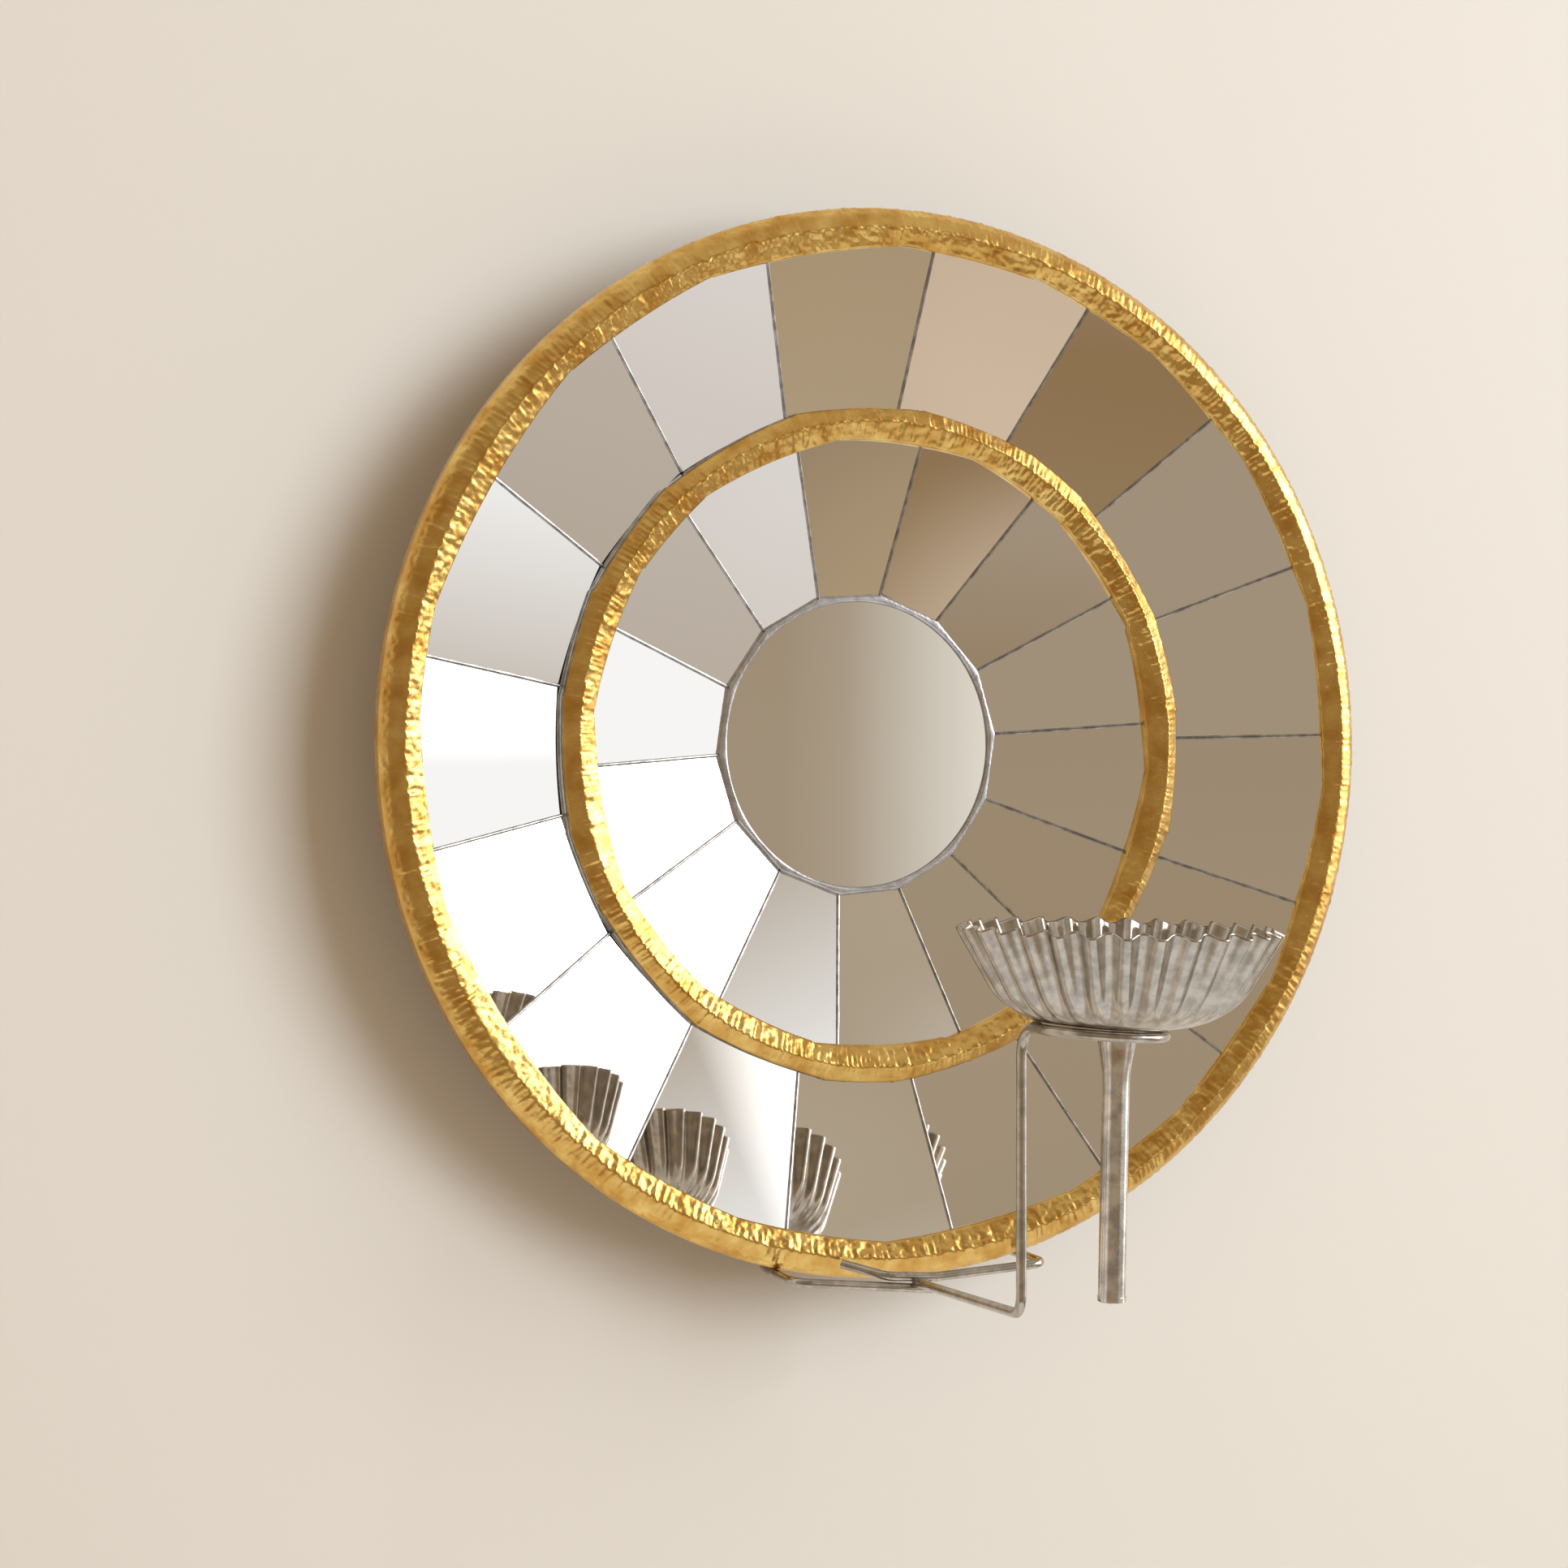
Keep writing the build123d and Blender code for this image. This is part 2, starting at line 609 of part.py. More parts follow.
# Candle ring wire: one wire runs forward from the joint, up, and round the candle tube
ring_wire_radius = candle_ring_diameter / 2
candle_ring_y = -riser_stand - candle_ring_reach - lip_height
ring_t = radians(candle_ring_tilt)
ring_plane = Plane(origin=(candle_ring_x, candle_ring_y, candle_ring_z),
                   x_dir=(cos(ring_t), 0, -sin(ring_t)), z_dir=(sin(ring_t), 0, cos(ring_t)))
tangent_point = ring_plane.from_local_coords(Vector(-ring_wire_radius, 0, 0))
riser_y = -riser_stand - lip_height
ring_end = (wire_diameter + candle_ring_gap) / ring_wire_radius
loop_turn = 180 - degrees(2 * atan(sqrt(ring_end / 2)))
arm_start = Vector(arm_start_x, bar_y - arm_in_front, corner_z - arm_drop)
with BuildPart() as candle_ring_wire:
    with BuildLine() as arm_path:
        FilletPolyline(arm_start,
                       Vector(tangent_point.X, riser_y, corner_z + riser_foot_rise),
                       Vector(tangent_point.X, riser_y, tangent_point.Z),
                       tangent_point,
                       radius=[riser_bend, riser_top_bend])
        with BuildLine(ring_plane):
            CenterArc((0, 0), ring_wire_radius, 180, 180 + loop_turn)
    with BuildSketch(Plane(origin=arm_path.line @ 0, z_dir=arm_path.line % 0)):
        Circle(wire_radius)
    sweep()
candle_ring_wire.part.label = "candle_ring_wire"
export_step(candle_ring_wire.part, "parts/candle_ring_wire.step")

# Brazing metal in the groove between the wires of the joint
with BuildPart() as braze_joint:
    with Locations(Location((arm_start.X + braze_shift, bar_y - braze_shift, arm_start.Z),
                            (0, 90, 0))):
        Cylinder(braze_radius, braze_length)
    for wire in (left_leg_wire, right_leg_wire, stop_wire, candle_ring_wire):
        add(wire.part, mode=Mode.SUBTRACT)
braze_joint.part.label = "braze_joint"
export_step(braze_joint.part, "parts/braze_joint.step")

# Clips that hold the legs to the dish's back
clip_bore = wire_radius + clip_clearance
clip_hump = clip_bore + clip_sheet
with BuildPart() as wire_clips:
    for angle in (left_angle, right_angle):
        place = back_plane(angle, clip_radius).location
        with Locations(place):
            Box(clip_span, clip_width, clip_sheet, align=(Align.CENTER, Align.CENTER, Align.MIN))
        with Locations(place * Location((0, 0, clip_bore), (90, 0, 0))):
            Cylinder(clip_hump, clip_width)
    for angle in (left_angle, right_angle):
        place = back_plane(angle, clip_radius).location
        with Locations(place * Location((0, 0, clip_bore), (90, 0, 0))):
            Cylinder(clip_bore, clip_width * 2, mode=Mode.SUBTRACT)
        with Locations(place):
            Box(2 * clip_bore, clip_width * 2, 2 * clip_bore, mode=Mode.SUBTRACT)
            Box(clip_span * 2, clip_width * 2, 2 * clip_hump,
                align=(Align.CENTER, Align.CENTER, Align.MAX), mode=Mode.SUBTRACT)
        for reach in (-clip_screw_reach, clip_screw_reach):
            with Locations(place * Location((reach, 0, 0))):
                Cylinder(screw_shank_radius + screw_clearance, 4 * clip_sheet, mode=Mode.SUBTRACT)
wire_clips.part.label = "wire_clips"
export_step(wire_clips.part, "parts/wire_clips.step")


def screws(places, sheet):
    """Screws whose tapered heads seat on a sheet that lies on each place."""
    with BuildPart() as group:
        for place in places:
            with Locations(place * Location((0, 0, sheet))):
                Cone(screw_head_radius, screw_crown_radius, screw_head_height,
                     align=(Align.CENTER, Align.CENTER, Align.MIN))
                Cylinder(screw_shank_radius, screw_length + sheet - screw_end_gap,
                         align=(Align.CENTER, Align.CENTER, Align.MAX))
    return group.part


clip_screw_part = screws(
    [back_plane(a, clip_radius).location * Location((r, 0, 0))
     for a in (left_angle, right_angle) for r in (-clip_screw_reach, clip_screw_reach)],
    clip_sheet)
clip_screw_part.label = "clip_screws"
export_step(clip_screw_part, "parts/clip_screws.step")

hanger_screw_part = screws(
    [back_plane(90, hanger_radius).location * Location((0, -row, 0))
     for row in hanger_screw_rows],
    strap_thickness)
hanger_screw_part.label = "hanger_screws"
export_step(hanger_screw_part, "parts/hanger_screws.step")

# Hanger strap, whose rolled end is the knuckle for the hanging ring
hang_wire_radius = hang_wire / 2
knuckle_bore = hang_wire_radius + hang_bore_clearance
knuckle_radius = knuckle_bore + strap_thickness
hanger_place = back_plane(90, hanger_radius)
with BuildPart() as hanger_strap:
    with Locations(hanger_place.location * Location((0, -strap_length / 2, 0))):
        Box(strap_width, strap_length, strap_thickness,
            align=(Align.CENTER, Align.CENTER, Align.MIN))
    with Locations(hanger_place.location * Location((0, 0, knuckle_radius), (0, 90, 0))):
        Cylinder(knuckle_radius, strap_width)
        Cylinder(knuckle_bore, 2 * strap_width, mode=Mode.SUBTRACT)
    for row in hanger_screw_rows:
        with Locations(hanger_place.location * Location((0, -row, 0))):
            Cylinder(screw_shank_radius + screw_clearance, 4 * strap_thickness,
                     mode=Mode.SUBTRACT)
hanger_strap.part.label = "hanger_strap"
export_step(hanger_strap.part, "parts/hanger_strap.step")

# Hanging ring, which leans on the dish's back and swings out and down
ring_lean = degrees(atan((knuckle_radius - hang_wire_radius - hang_ring_gap) / hang_ring_height))
hang_place = Plane(hanger_place.location * Location((0, 0, knuckle_radius), (-ring_lean, 0, 0)))
half_width = hang_ring_width / 2
with BuildPart() as hanging_ring:
    with BuildLine(hang_place):
        bow = CenterArc((0, hang_ring_height - half_width), half_width, 0, 180)
        Line(bow @ 1, (-half_width, hang_ring_bend))
        left_turn = CenterArc((-half_width + hang_ring_bend, hang_ring_bend), hang_ring_bend,
                              180, 90)
        bar = Line(left_turn @ 1, (half_width - hang_ring_bend, 0))
        right_turn = CenterArc((half_width - hang_ring_bend, hang_ring_bend), hang_ring_bend,
                               270, 90)
        Line(right_turn @ 1, bow @ 0)
    with BuildSketch(Plane(origin=bar @ 0.5, z_dir=bar % 0.5)):
        Circle(hang_wire_radius)
    sweep()
hanging_ring.part.label = "hanging_ring"
export_step(hanging_ring.part, "parts/hanging_ring.step")

# Candle pan: height at which its underside clears the tilted wire ring all round
pan_t = radians(pan_tilt)


def underside(radius):
    """Height of the pan's underside above its foot."""
    run = max(0.0, radius - pan_foot_radius)
    return pan_bowl_radius - sqrt(max(0.0, pan_bowl_radius ** 2 - run ** 2))


def seat_height(turn):
    """Height of the pan's foot, at its own axis, that clears one point of the ring."""
    a = radians(turn)
    spot = ring_plane.from_local_coords(
        Vector(ring_wire_radius * cos(a), ring_wire_radius * sin(a), wire_radius))
    across = hypot(spot.X - pan_x, spot.Y - candle_ring_y)
    return spot.Z + (spot.X - pan_x) * tan(pan_t) - underside(across)


pan_foot_z = max(seat_height(turn) for turn in range(0, 360, 5)) + pan_seat_gap
pan_axis = Vector(sin(pan_t), 0, cos(pan_t))
pan_plane = Plane(origin=(pan_x, candle_ring_y, pan_foot_z),
                  x_dir=(cos(pan_t), 0, -sin(pan_t)), z_dir=pan_axis)

flare_t = radians(pan_flare)
bend_end = radians(90) - flare_t
bowl_end_radius = pan_foot_radius + pan_bowl_radius * sin(bend_end)
bowl_end_height = pan_bowl_radius * (1 - cos(bend_end))
rim_mean_radius = bowl_end_radius + (pan_height - bowl_end_height) * tan(flare_t)
start_t = radians(flute_start_angle)
fade_t = (start_t + bend_end) / 2
top_height = pan_height + rim_spare


def wall_radius(height):
    return bowl_end_radius + (height - bowl_end_height) * tan(flare_t)


# Outer sections of the fluted wall: height, middle radius, flute depth, sheet's inset
inner_bowl = pan_bowl_radius - pan_sheet


def bowl_section(turn, depth, step=0.0):
    height = pan_bowl_radius * (1 - cos(turn))
    outer = pan_foot_radius + pan_bowl_radius * sin(turn)
    inner = pan_foot_radius + sqrt(inner_bowl ** 2 - (pan_bowl_radius - height) ** 2)
    return (height, outer + step, depth, outer - inner)


low_section = bowl_section(start_t, 0.0, flute_start_step)
pan_sections = [
    low_section,
    bowl_section(fade_t, flute_depth_fade),
    bowl_section(bend_end, flute_depth_low),
    (top_height, wall_radius(top_height), flute_depth, pan_sheet / cos(flare_t)),
]
depth_growth = (flute_depth - flute_depth_low) / (top_height - bowl_end_height)


def fluted_ring(radius, depth, inset):
    """Corners round one section, crests and troughs among them; inset moves them by the sheet."""
    ring = []
    for i in range(pan_flutes * flute_runs):
        a = 2 * pi * (i + 0.5) / (pan_flutes * flute_runs)
        flank = atan2(pan_flutes * depth * cos(pan_flutes * a), radius)
        r = radius + depth * sin(pan_flutes * a) - inset * cos(flank)
        shift = inset * sin(flank)
        ring.append((r * cos(a) - shift * sin(a), r * sin(a) + shift * cos(a)))
    return ring


def fluted_solid(inner, extra):
    """Solid inside the outer or inner face of the wall; extra lengthens it at the top."""
    with BuildPart() as body:
        for height, radius, depth, inset in pan_sections:
            more = extra if height == top_height else 0.0
            with BuildSketch(pan_plane.offset(height + more)):
                Polygon(*fluted_ring(radius + more * tan(flare_t), depth + more * depth_growth,
                                     inset if inner else 0.0), align=None)
        loft(ruled=True)
    return body.part


def pan_section_plane():
    """Upright plane through the pan's axis, whose local y is the axis."""
    return Plane(origin=pan_plane.origin, x_dir=pan_plane.x_dir, z_dir=-pan_plane.y_dir)


low_height, low_radius = low_section[0], low_section[1] - flute_start_step
inner_low_radius = low_radius - low_section[3]
bore_radius = tube_radius - tube_wall
pan_line = Axis(pan_plane.origin, pan_axis)
rim_slope = tan(flare_t)
with BuildPart() as drip_pan:
    with BuildSketch(pan_section_plane()):
        with BuildLine():
            Line((0, 0), (pan_foot_radius, 0))
            CenterArc((pan_foot_radius, pan_bowl_radius), pan_bowl_radius, 270, flute_start_angle)
            Polyline((low_radius, low_height), (0, low_height), (0, 0))
        make_face()
    revolve(axis=pan_line)
    add(fluted_solid(False, 0.0))
    add(fluted_solid(True, cut_margin), mode=Mode.SUBTRACT)
    with BuildSketch(pan_section_plane()):
        with BuildLine():
            Line((0, pan_sheet), (pan_foot_radius, pan_sheet))
            inner_turn = degrees(atan2(inner_low_radius - pan_foot_radius,
                                       pan_bowl_radius - low_height))
            CenterArc((pan_foot_radius, pan_bowl_radius), inner_bowl, 270, inner_turn)
            Polyline((inner_low_radius, low_height), (0, low_height), (0, pan_sheet))
        make_face()
    revolve(axis=pan_line, mode=Mode.SUBTRACT)
    with BuildSketch(pan_section_plane()):
        Polygon((0, pan_height + rim_mean_radius * rim_slope),
                (rim_mean_radius + trim_reach, pan_height - trim_reach * rim_slope),
                (rim_mean_radius + trim_reach, pan_height + 2 * rim_mean_radius * rim_slope),
                (0, pan_height + 2 * rim_mean_radius * rim_slope), align=None)
    revolve(axis=pan_line, mode=Mode.SUBTRACT)
    with Locations(pan_plane.location):
        Cylinder(bore_radius, 4 * pan_sheet, mode=Mode.SUBTRACT)
drip_pan.part.label = "drip_pan"
export_step(drip_pan.part, "parts/drip_pan.step")

# Candle tube: flared where it is brazed under the pan, and widened inside at its end
seat_radius = bore_radius + cap_seat_step
flare_points = [(radius, -drop) for drop, radius in tube_flare]
with BuildPart() as candle_tube:
    with BuildSketch(pan_section_plane()):
        with BuildLine():
            Spline(*flare_points, tangents=(tube_flare_start, (0, -1)))
            Polyline(flare_points[-1], (tube_radius, -tube_length), (seat_radius, -tube_length),
                     (seat_radius, cap_seat - tube_length), (bore_radius, cap_seat - tube_length),
                     (bore_radius, 0), flare_points[0])
        make_face()
    revolve(axis=pan_line)
candle_tube.part.label = "candle_tube"
export_step(candle_tube.part, "parts/candle_tube.step")

# Cap of the tube, whose spigot stops short of the bore
with BuildPart() as tube_cap:
    with BuildSketch(pan_section_plane()):
        spigot_radius = seat_radius - cap_clearance
        Polygon((0, cap_spigot - tube_length), (spigot_radius, cap_spigot - tube_length),
                (spigot_radius, -tube_length), (cap_radius, -tube_length),
                (cap_radius, cap_edge - tube_length - cap_thickness),
                (cap_radius - cap_edge, -tube_length - cap_thickness),
                (0, -tube_length - cap_thickness), align=None)
    revolve(axis=pan_line)
tube_cap.part.label = "tube_cap"
export_step(tube_cap.part, "parts/tube_cap.step")
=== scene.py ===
# Looks of a round faceted wall mirror with two hammered gilt rings and a candle pan on a wire bracket.
import math
import random

import bpy
from bpy.props import FloatProperty, FloatVectorProperty, PointerProperty
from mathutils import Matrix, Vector, noise


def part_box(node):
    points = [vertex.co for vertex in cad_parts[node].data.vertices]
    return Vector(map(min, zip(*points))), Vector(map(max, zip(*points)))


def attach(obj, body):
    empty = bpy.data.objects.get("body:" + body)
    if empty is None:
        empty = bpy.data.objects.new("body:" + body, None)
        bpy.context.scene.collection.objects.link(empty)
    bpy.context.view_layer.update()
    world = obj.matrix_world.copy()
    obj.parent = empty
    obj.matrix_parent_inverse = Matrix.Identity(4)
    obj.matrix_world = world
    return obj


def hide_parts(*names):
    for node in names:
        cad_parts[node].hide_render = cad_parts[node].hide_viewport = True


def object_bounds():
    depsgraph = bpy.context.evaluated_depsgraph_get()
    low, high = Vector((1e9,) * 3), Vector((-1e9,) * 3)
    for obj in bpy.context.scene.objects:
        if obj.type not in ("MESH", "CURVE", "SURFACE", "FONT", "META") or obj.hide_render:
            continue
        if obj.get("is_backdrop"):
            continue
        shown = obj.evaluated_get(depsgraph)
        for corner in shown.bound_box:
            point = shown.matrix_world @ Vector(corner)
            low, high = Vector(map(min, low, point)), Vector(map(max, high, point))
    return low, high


bl_info = {
    "name": "Faceted Wall Mirror",
    "version": (1, 0, 0),
    "blender": (4, 5, 0),
    "location": "View3D > Sidebar > Mirror",
    "description": "Builds the surfaces and the room of a round faceted wall mirror with a candle pan",
    "category": "Add Mesh",
}

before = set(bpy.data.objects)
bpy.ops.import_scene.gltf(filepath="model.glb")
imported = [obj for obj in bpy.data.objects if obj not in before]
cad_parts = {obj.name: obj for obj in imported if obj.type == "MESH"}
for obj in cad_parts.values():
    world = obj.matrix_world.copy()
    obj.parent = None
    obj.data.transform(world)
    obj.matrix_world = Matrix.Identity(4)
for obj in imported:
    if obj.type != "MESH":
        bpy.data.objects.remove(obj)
CAD_LOW, CAD_HIGH = (Vector(corner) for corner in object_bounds())
MM = 0.001

# Places on the mirror. A depth is measured from the rim's lip towards the wall.
RIM_LOW, RIM_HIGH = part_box("outer_rim")
RIM_RADIUS = (RIM_HIGH.z - RIM_LOW.z) / 2
RIM_RIDGE = 4.4 * MM
RIM_WALL = 11.0 * MM
LIP_Y = RIM_LOW.y + RIM_RIDGE
LIP_RADIUS = RIM_RADIUS - 13.8 * MM
RING_LOW, RING_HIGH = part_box("inner_ring")
RING_RADIUS = (RING_HIGH.z - RING_LOW.z) / 2
RING_INNER_RADIUS = RING_RADIUS - 12.8 * MM
RING_RIDGE_DEPTH = RING_LOW.y - LIP_Y
OUTER_FACETS = sum(name.startswith("outer_facet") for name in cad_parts)
INNER_FACETS = sum(name.startswith("inner_facet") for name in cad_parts)
OUTER_FIRST_SEAM = math.radians(107.1)
INNER_FIRST_SEAM = math.radians(107.0)
OUTER_SLOPE = math.tan(math.radians(22.0))
INNER_SLOPE = math.tan(math.radians(18.6))
OUTER_REVEAL = 2.0 * MM
RING_STEP = 2.5 * MM
RING_OUTER_WALL = 6.7 * MM
RING_INNER_WALL = 3.4 * MM
FRAME_LOW, FRAME_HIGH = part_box("centre_frame")
DISC_LOW, DISC_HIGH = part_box("centre_mirror")

# The rim's ridge as seen: lower and nearer the lip than the CAD's, for the width of its bright outer edge
SEEN_RIDGE = 3.5 * MM
SEEN_RIDGE_IN = 6.0 * MM

# Points around each turned mesh, about half a millimetre apart, and points along a seam
RIM_TURNS = 1900
RING_TURNS = 1300
STRIP_TURNS = 510
FRAME_TURNS = 560
SEAM_ROWS = 40

# Candle pan: its foot on its own axis, and the sizes of its wall
TUBE_LOW, TUBE_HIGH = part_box("candle_tube")
PAN_TILT = math.radians(1.25)
PAN_AXIS = Vector((math.sin(PAN_TILT), 0.0, math.cos(PAN_TILT)))
PAN_ACROSS = Vector((math.cos(PAN_TILT), 0.0, -math.sin(PAN_TILT)))
PAN_FOOT = Vector((10.0 * MM, (TUBE_LOW.y + TUBE_HIGH.y) / 2, TUBE_HIGH.z - 0.15 * MM))
PAN_FOOT_RADIUS = 17.5 * MM
PAN_BOWL = 25.5 * MM
PAN_FLARE = math.radians(28.7)
PAN_HEIGHT = 30.5 * MM
PAN_FLUTES = 30
PAN_FLUTE_START = math.radians(22)


def from_hex(colour):
    """An sRGB hex colour as the linear values that a shader takes."""
    channels = [int(colour[i : i + 2], 16) / 255 for i in (1, 3, 5)]
    linear = [c / 12.92 if c <= 0.04045 else ((c + 0.055) / 1.055) ** 2.4 for c in channels]
    return (*linear, 1.0)


class MirrorSizes(bpy.types.PropertyGroup):
    """Sizes that a maker would change"""

    dent_size: FloatProperty(
        name="Dent Size",
        description="Width of one hammer mark in the gilt",
        default=4.6 * MM,
        min=1.0 * MM,
        unit="LENGTH",
    )
    dent_depth: FloatProperty(
        name="Dent Depth", description="Depth of a hammer mark", default=0.42 * MM, min=0.0, unit="LENGTH"
    )
    edge_wander: FloatProperty(
        name="Edge Wander",
        description="How far the cut edges of the gilt strips miss each other",
        default=0.55 * MM,
        min=0.0,
        unit="LENGTH",
    )
    seam_width: FloatProperty(
        name="Seam Width",
        description="Width of the lead between two facets",
        default=1.3 * MM,
        unit="LENGTH",
    )
    seam_height: FloatProperty(
        name="Seam Height",
        description="Height of the lead above the glass",
        default=0.42 * MM,
        unit="LENGTH",
    )
    pan_sheet: FloatProperty(
        name="Pan Sheet", description="Thickness of the pan's tinned sheet", default=0.55 * MM, unit="LENGTH"
    )
    flute_depth: FloatProperty(
        name="Flute Depth",
        description="Depth of the pan's flutes at its rim, each way from the middle of the wall",
        default=1.87 * MM,
        unit="LENGTH",
    )
    lamp_power: FloatProperty(
        name="Lamp Power", description="Power of the soft lamp", default=44.0, min=0.0, unit="POWER"
    )
    lamp_size: FloatProperty(
        name="Lamp Size", description="Side of the soft lamp", default=1.3, unit="LENGTH"
    )


class MirrorColours(bpy.types.PropertyGroup):
    """Colours that a maker would change"""

    gilt_low: FloatVectorProperty(
        name="Gilt, Worn",
        description="Gilt where it is thin",
        size=4,
        subtype="COLOR",
        default=from_hex("#D2A050"),
    )
    gilt_high: FloatVectorProperty(
        name="Gilt, Full",
        description="Gilt where it is full",
        size=4,
        subtype="COLOR",
        default=from_hex("#EDC878"),
    )
    glass: FloatVectorProperty(
        name="Silvering", description="Silvered glass", size=4, subtype="COLOR", default=from_hex("#F6F5F3")
    )
    lead: FloatVectorProperty(
        name="Lead", description="Lead of the seams", size=4, subtype="COLOR", default=from_hex("#B9B7B4")
    )
    tin: FloatVectorProperty(
        name="Tin", description="Tinned sheet and wire", size=4, subtype="COLOR", default=from_hex("#C6BFB5")
    )
    wood: FloatVectorProperty(
        name="Wood", description="Stain of the dish", size=4, subtype="COLOR", default=from_hex("#3A2B22")
    )
    felt: FloatVectorProperty(
        name="Felt", description="Felt disc", size=4, subtype="COLOR", default=from_hex("#30322B")
    )
    wall: FloatVectorProperty(
        name="Wall", description="Paint of the wall", size=4, subtype="COLOR", default=from_hex("#E8E3DC")
    )


def outer_depth(radius):
    """Depth of the outer facets' front, on a seam."""
    return OUTER_REVEAL + (LIP_RADIUS - radius) * OUTER_SLOPE


INNER_EDGE_DEPTH = outer_depth(RING_RADIUS) - RING_STEP


def inner_depth(radius):
    """Depth of the inner facets' front, on a seam."""
    return INNER_EDGE_DEPTH + (RING_INNER_RADIUS - radius) * INNER_SLOPE


def on_facets(radius, angle, count, first, depth_on_seam):
    """Depth of a row of flat facets at a place between its seams."""
    half = math.pi / count
    turn = (angle - first) % (2 * half) - half
    return depth_on_seam(radius * math.cos(turn) / math.cos(half))


def at(radius, angle, depth):
    """A place on the mirror from its radius, its angle from +X towards +Z, and its depth."""
    return Vector((radius * math.cos(angle), LIP_Y + depth, radius * math.sin(angle)))


def blend(a, b, share):
    """A value at a share of the way from a to b."""
    return a + (b - a) * share


def node(tree, kind, links=(), **settings):
    """Adds a shader node. A setting names a socket or a property, and a link is (socket, source)."""
    made = tree.nodes.new(kind)
    for name, value in settings.items():
        if hasattr(made, name):
            setattr(made, name, value)
        else:
            made.inputs[name.replace("_", " ")].default_value = value
    for socket, source in links:
        tree.links.new(source, made.inputs[socket])
    return made


def new_material(name):
    """An empty material: its node tree, its shader and the object's own coordinates in metres."""
    material = bpy.data.materials.new(name)
    material.use_nodes = True
    tree = material.node_tree
    place = node(tree, "ShaderNodeTexCoord").outputs["Object"]
    return material, tree, tree.nodes["Principled BSDF"], place


def shade(tree, source, low, high, start=0.35, end=0.65):
    """A colour that goes from one to another as the source goes from start to end."""
    made = node(tree, "ShaderNodeValToRGB", [("Fac", source)])
    made.color_ramp.elements[0].position = start
    made.color_ramp.elements[0].color = low
    made.color_ramp.elements[1].position = end
    made.color_ramp.elements[1].color = high
    return made.outputs["Color"]


def darker(colour, share):
    """The same colour at a share of its brightness."""
    return (colour[0] * share, colour[1] * share, colour[2] * share, 1.0)


def hammered_gilt_brass():
    """Gold leaf on beaten brass: patches of thin and full leaf, with fine wrinkles in the leaf."""
    colours = bpy.context.scene.mirror_colours
    material, tree, shader, place = new_material("hammered_gilt_brass")
    patches = node(tree, "ShaderNodeTexNoise", [("Vector", place)], Scale=1 / (9 * MM), Detail=5.0)
    leaf = shade(tree, patches.outputs["Fac"], tuple(colours.gilt_low), tuple(colours.gilt_high))
    tree.links.new(leaf, shader.inputs["Base Color"])
    shader.inputs["Metallic"].default_value = 1.0
    sheen = node(tree, "ShaderNodeMapRange", [("Value", patches.outputs["Fac"])], To_Min=0.34, To_Max=0.22)
    tree.links.new(sheen.outputs["Result"], shader.inputs["Roughness"])
    wrinkles = node(tree, "ShaderNodeTexNoise", [("Vector", place)], Scale=1 / (1.1 * MM), Detail=4.0)
    bump = node(
        tree, "ShaderNodeBump", [("Height", wrinkles.outputs["Fac"])], Strength=0.3, Distance=0.2 * MM
    )
    tree.links.new(bump.outputs["Normal"], shader.inputs["Normal"])
    return material


def silvered_glass():
    """Silvered float glass: a nearly perfect reflection, with the faint waves of drawn glass."""
    material, tree, shader, place = new_material("silvered_glass")
    shader.inputs["Base Color"].default_value = tuple(bpy.context.scene.mirror_colours.glass)
    shader.inputs["Metallic"].default_value = 1.0
    shader.inputs["Roughness"].default_value = 0.02
    waves = node(tree, "ShaderNodeTexNoise", [("Vector", place)], Scale=1 / (60 * MM), Detail=1.0)
    bump = node(tree, "ShaderNodeBump", [("Height", waves.outputs["Fac"])], Strength=0.05, Distance=0.3 * MM)
    tree.links.new(bump.outputs["Normal"], shader.inputs["Normal"])
    return material


def grained_metal(name, colour, dull, roughness, grain, relief):
    """A metal with worn patches and a fine grain.

    The patches take the colour times dull, grain is the size of the grain in metres, and relief the strength
    of its bumps.
    """
    material, tree, shader, place = new_material(name)
    patches = node(tree, "ShaderNodeTexNoise", [("Vector", place)], Scale=1 / (grain * 9), Detail=5.0)
    worn = shade(tree, patches.outputs["Fac"], darker(colour, dull), tuple(colour), 0.38, 0.6)
    tree.links.new(worn, shader.inputs["Base Color"])
    shader.inputs["Metallic"].default_value = 1.0
    sheen = node(
        tree,
        "ShaderNodeMapRange",
        [("Value", patches.outputs["Fac"])],
        To_Min=roughness + 0.07,
        To_Max=roughness - 0.05,
    )
    tree.links.new(sheen.outputs["Result"], shader.inputs["Roughness"])
    fine = node(tree, "ShaderNodeTexNoise", [("Vector", place)], Scale=1 / grain, Detail=3.0)
    bump = node(
        tree, "ShaderNodeBump", [("Height", fine.outputs["Fac"])], Strength=relief, Distance=grain * 0.2
    )
    tree.links.new(bump.outputs["Normal"], shader.inputs["Normal"])
    return material


def drawn_lead():
    """Lead came: grey and soft, its skin gone brown in places."""
    colours = bpy.context.scene.mirror_colours
    return grained_metal("drawn_lead", tuple(colours.lead), 0.55, 0.3, 0.5 * MM, 0.3)


def polished_tin():
    """Tinned sheet and wire: satin, a little pitted, with brighter rubbed places."""
    colours = bpy.context.scene.mirror_colours
    return grained_metal("tinned_steel", tuple(colours.tin), 0.72, 0.17, 0.45 * MM, 0.12)


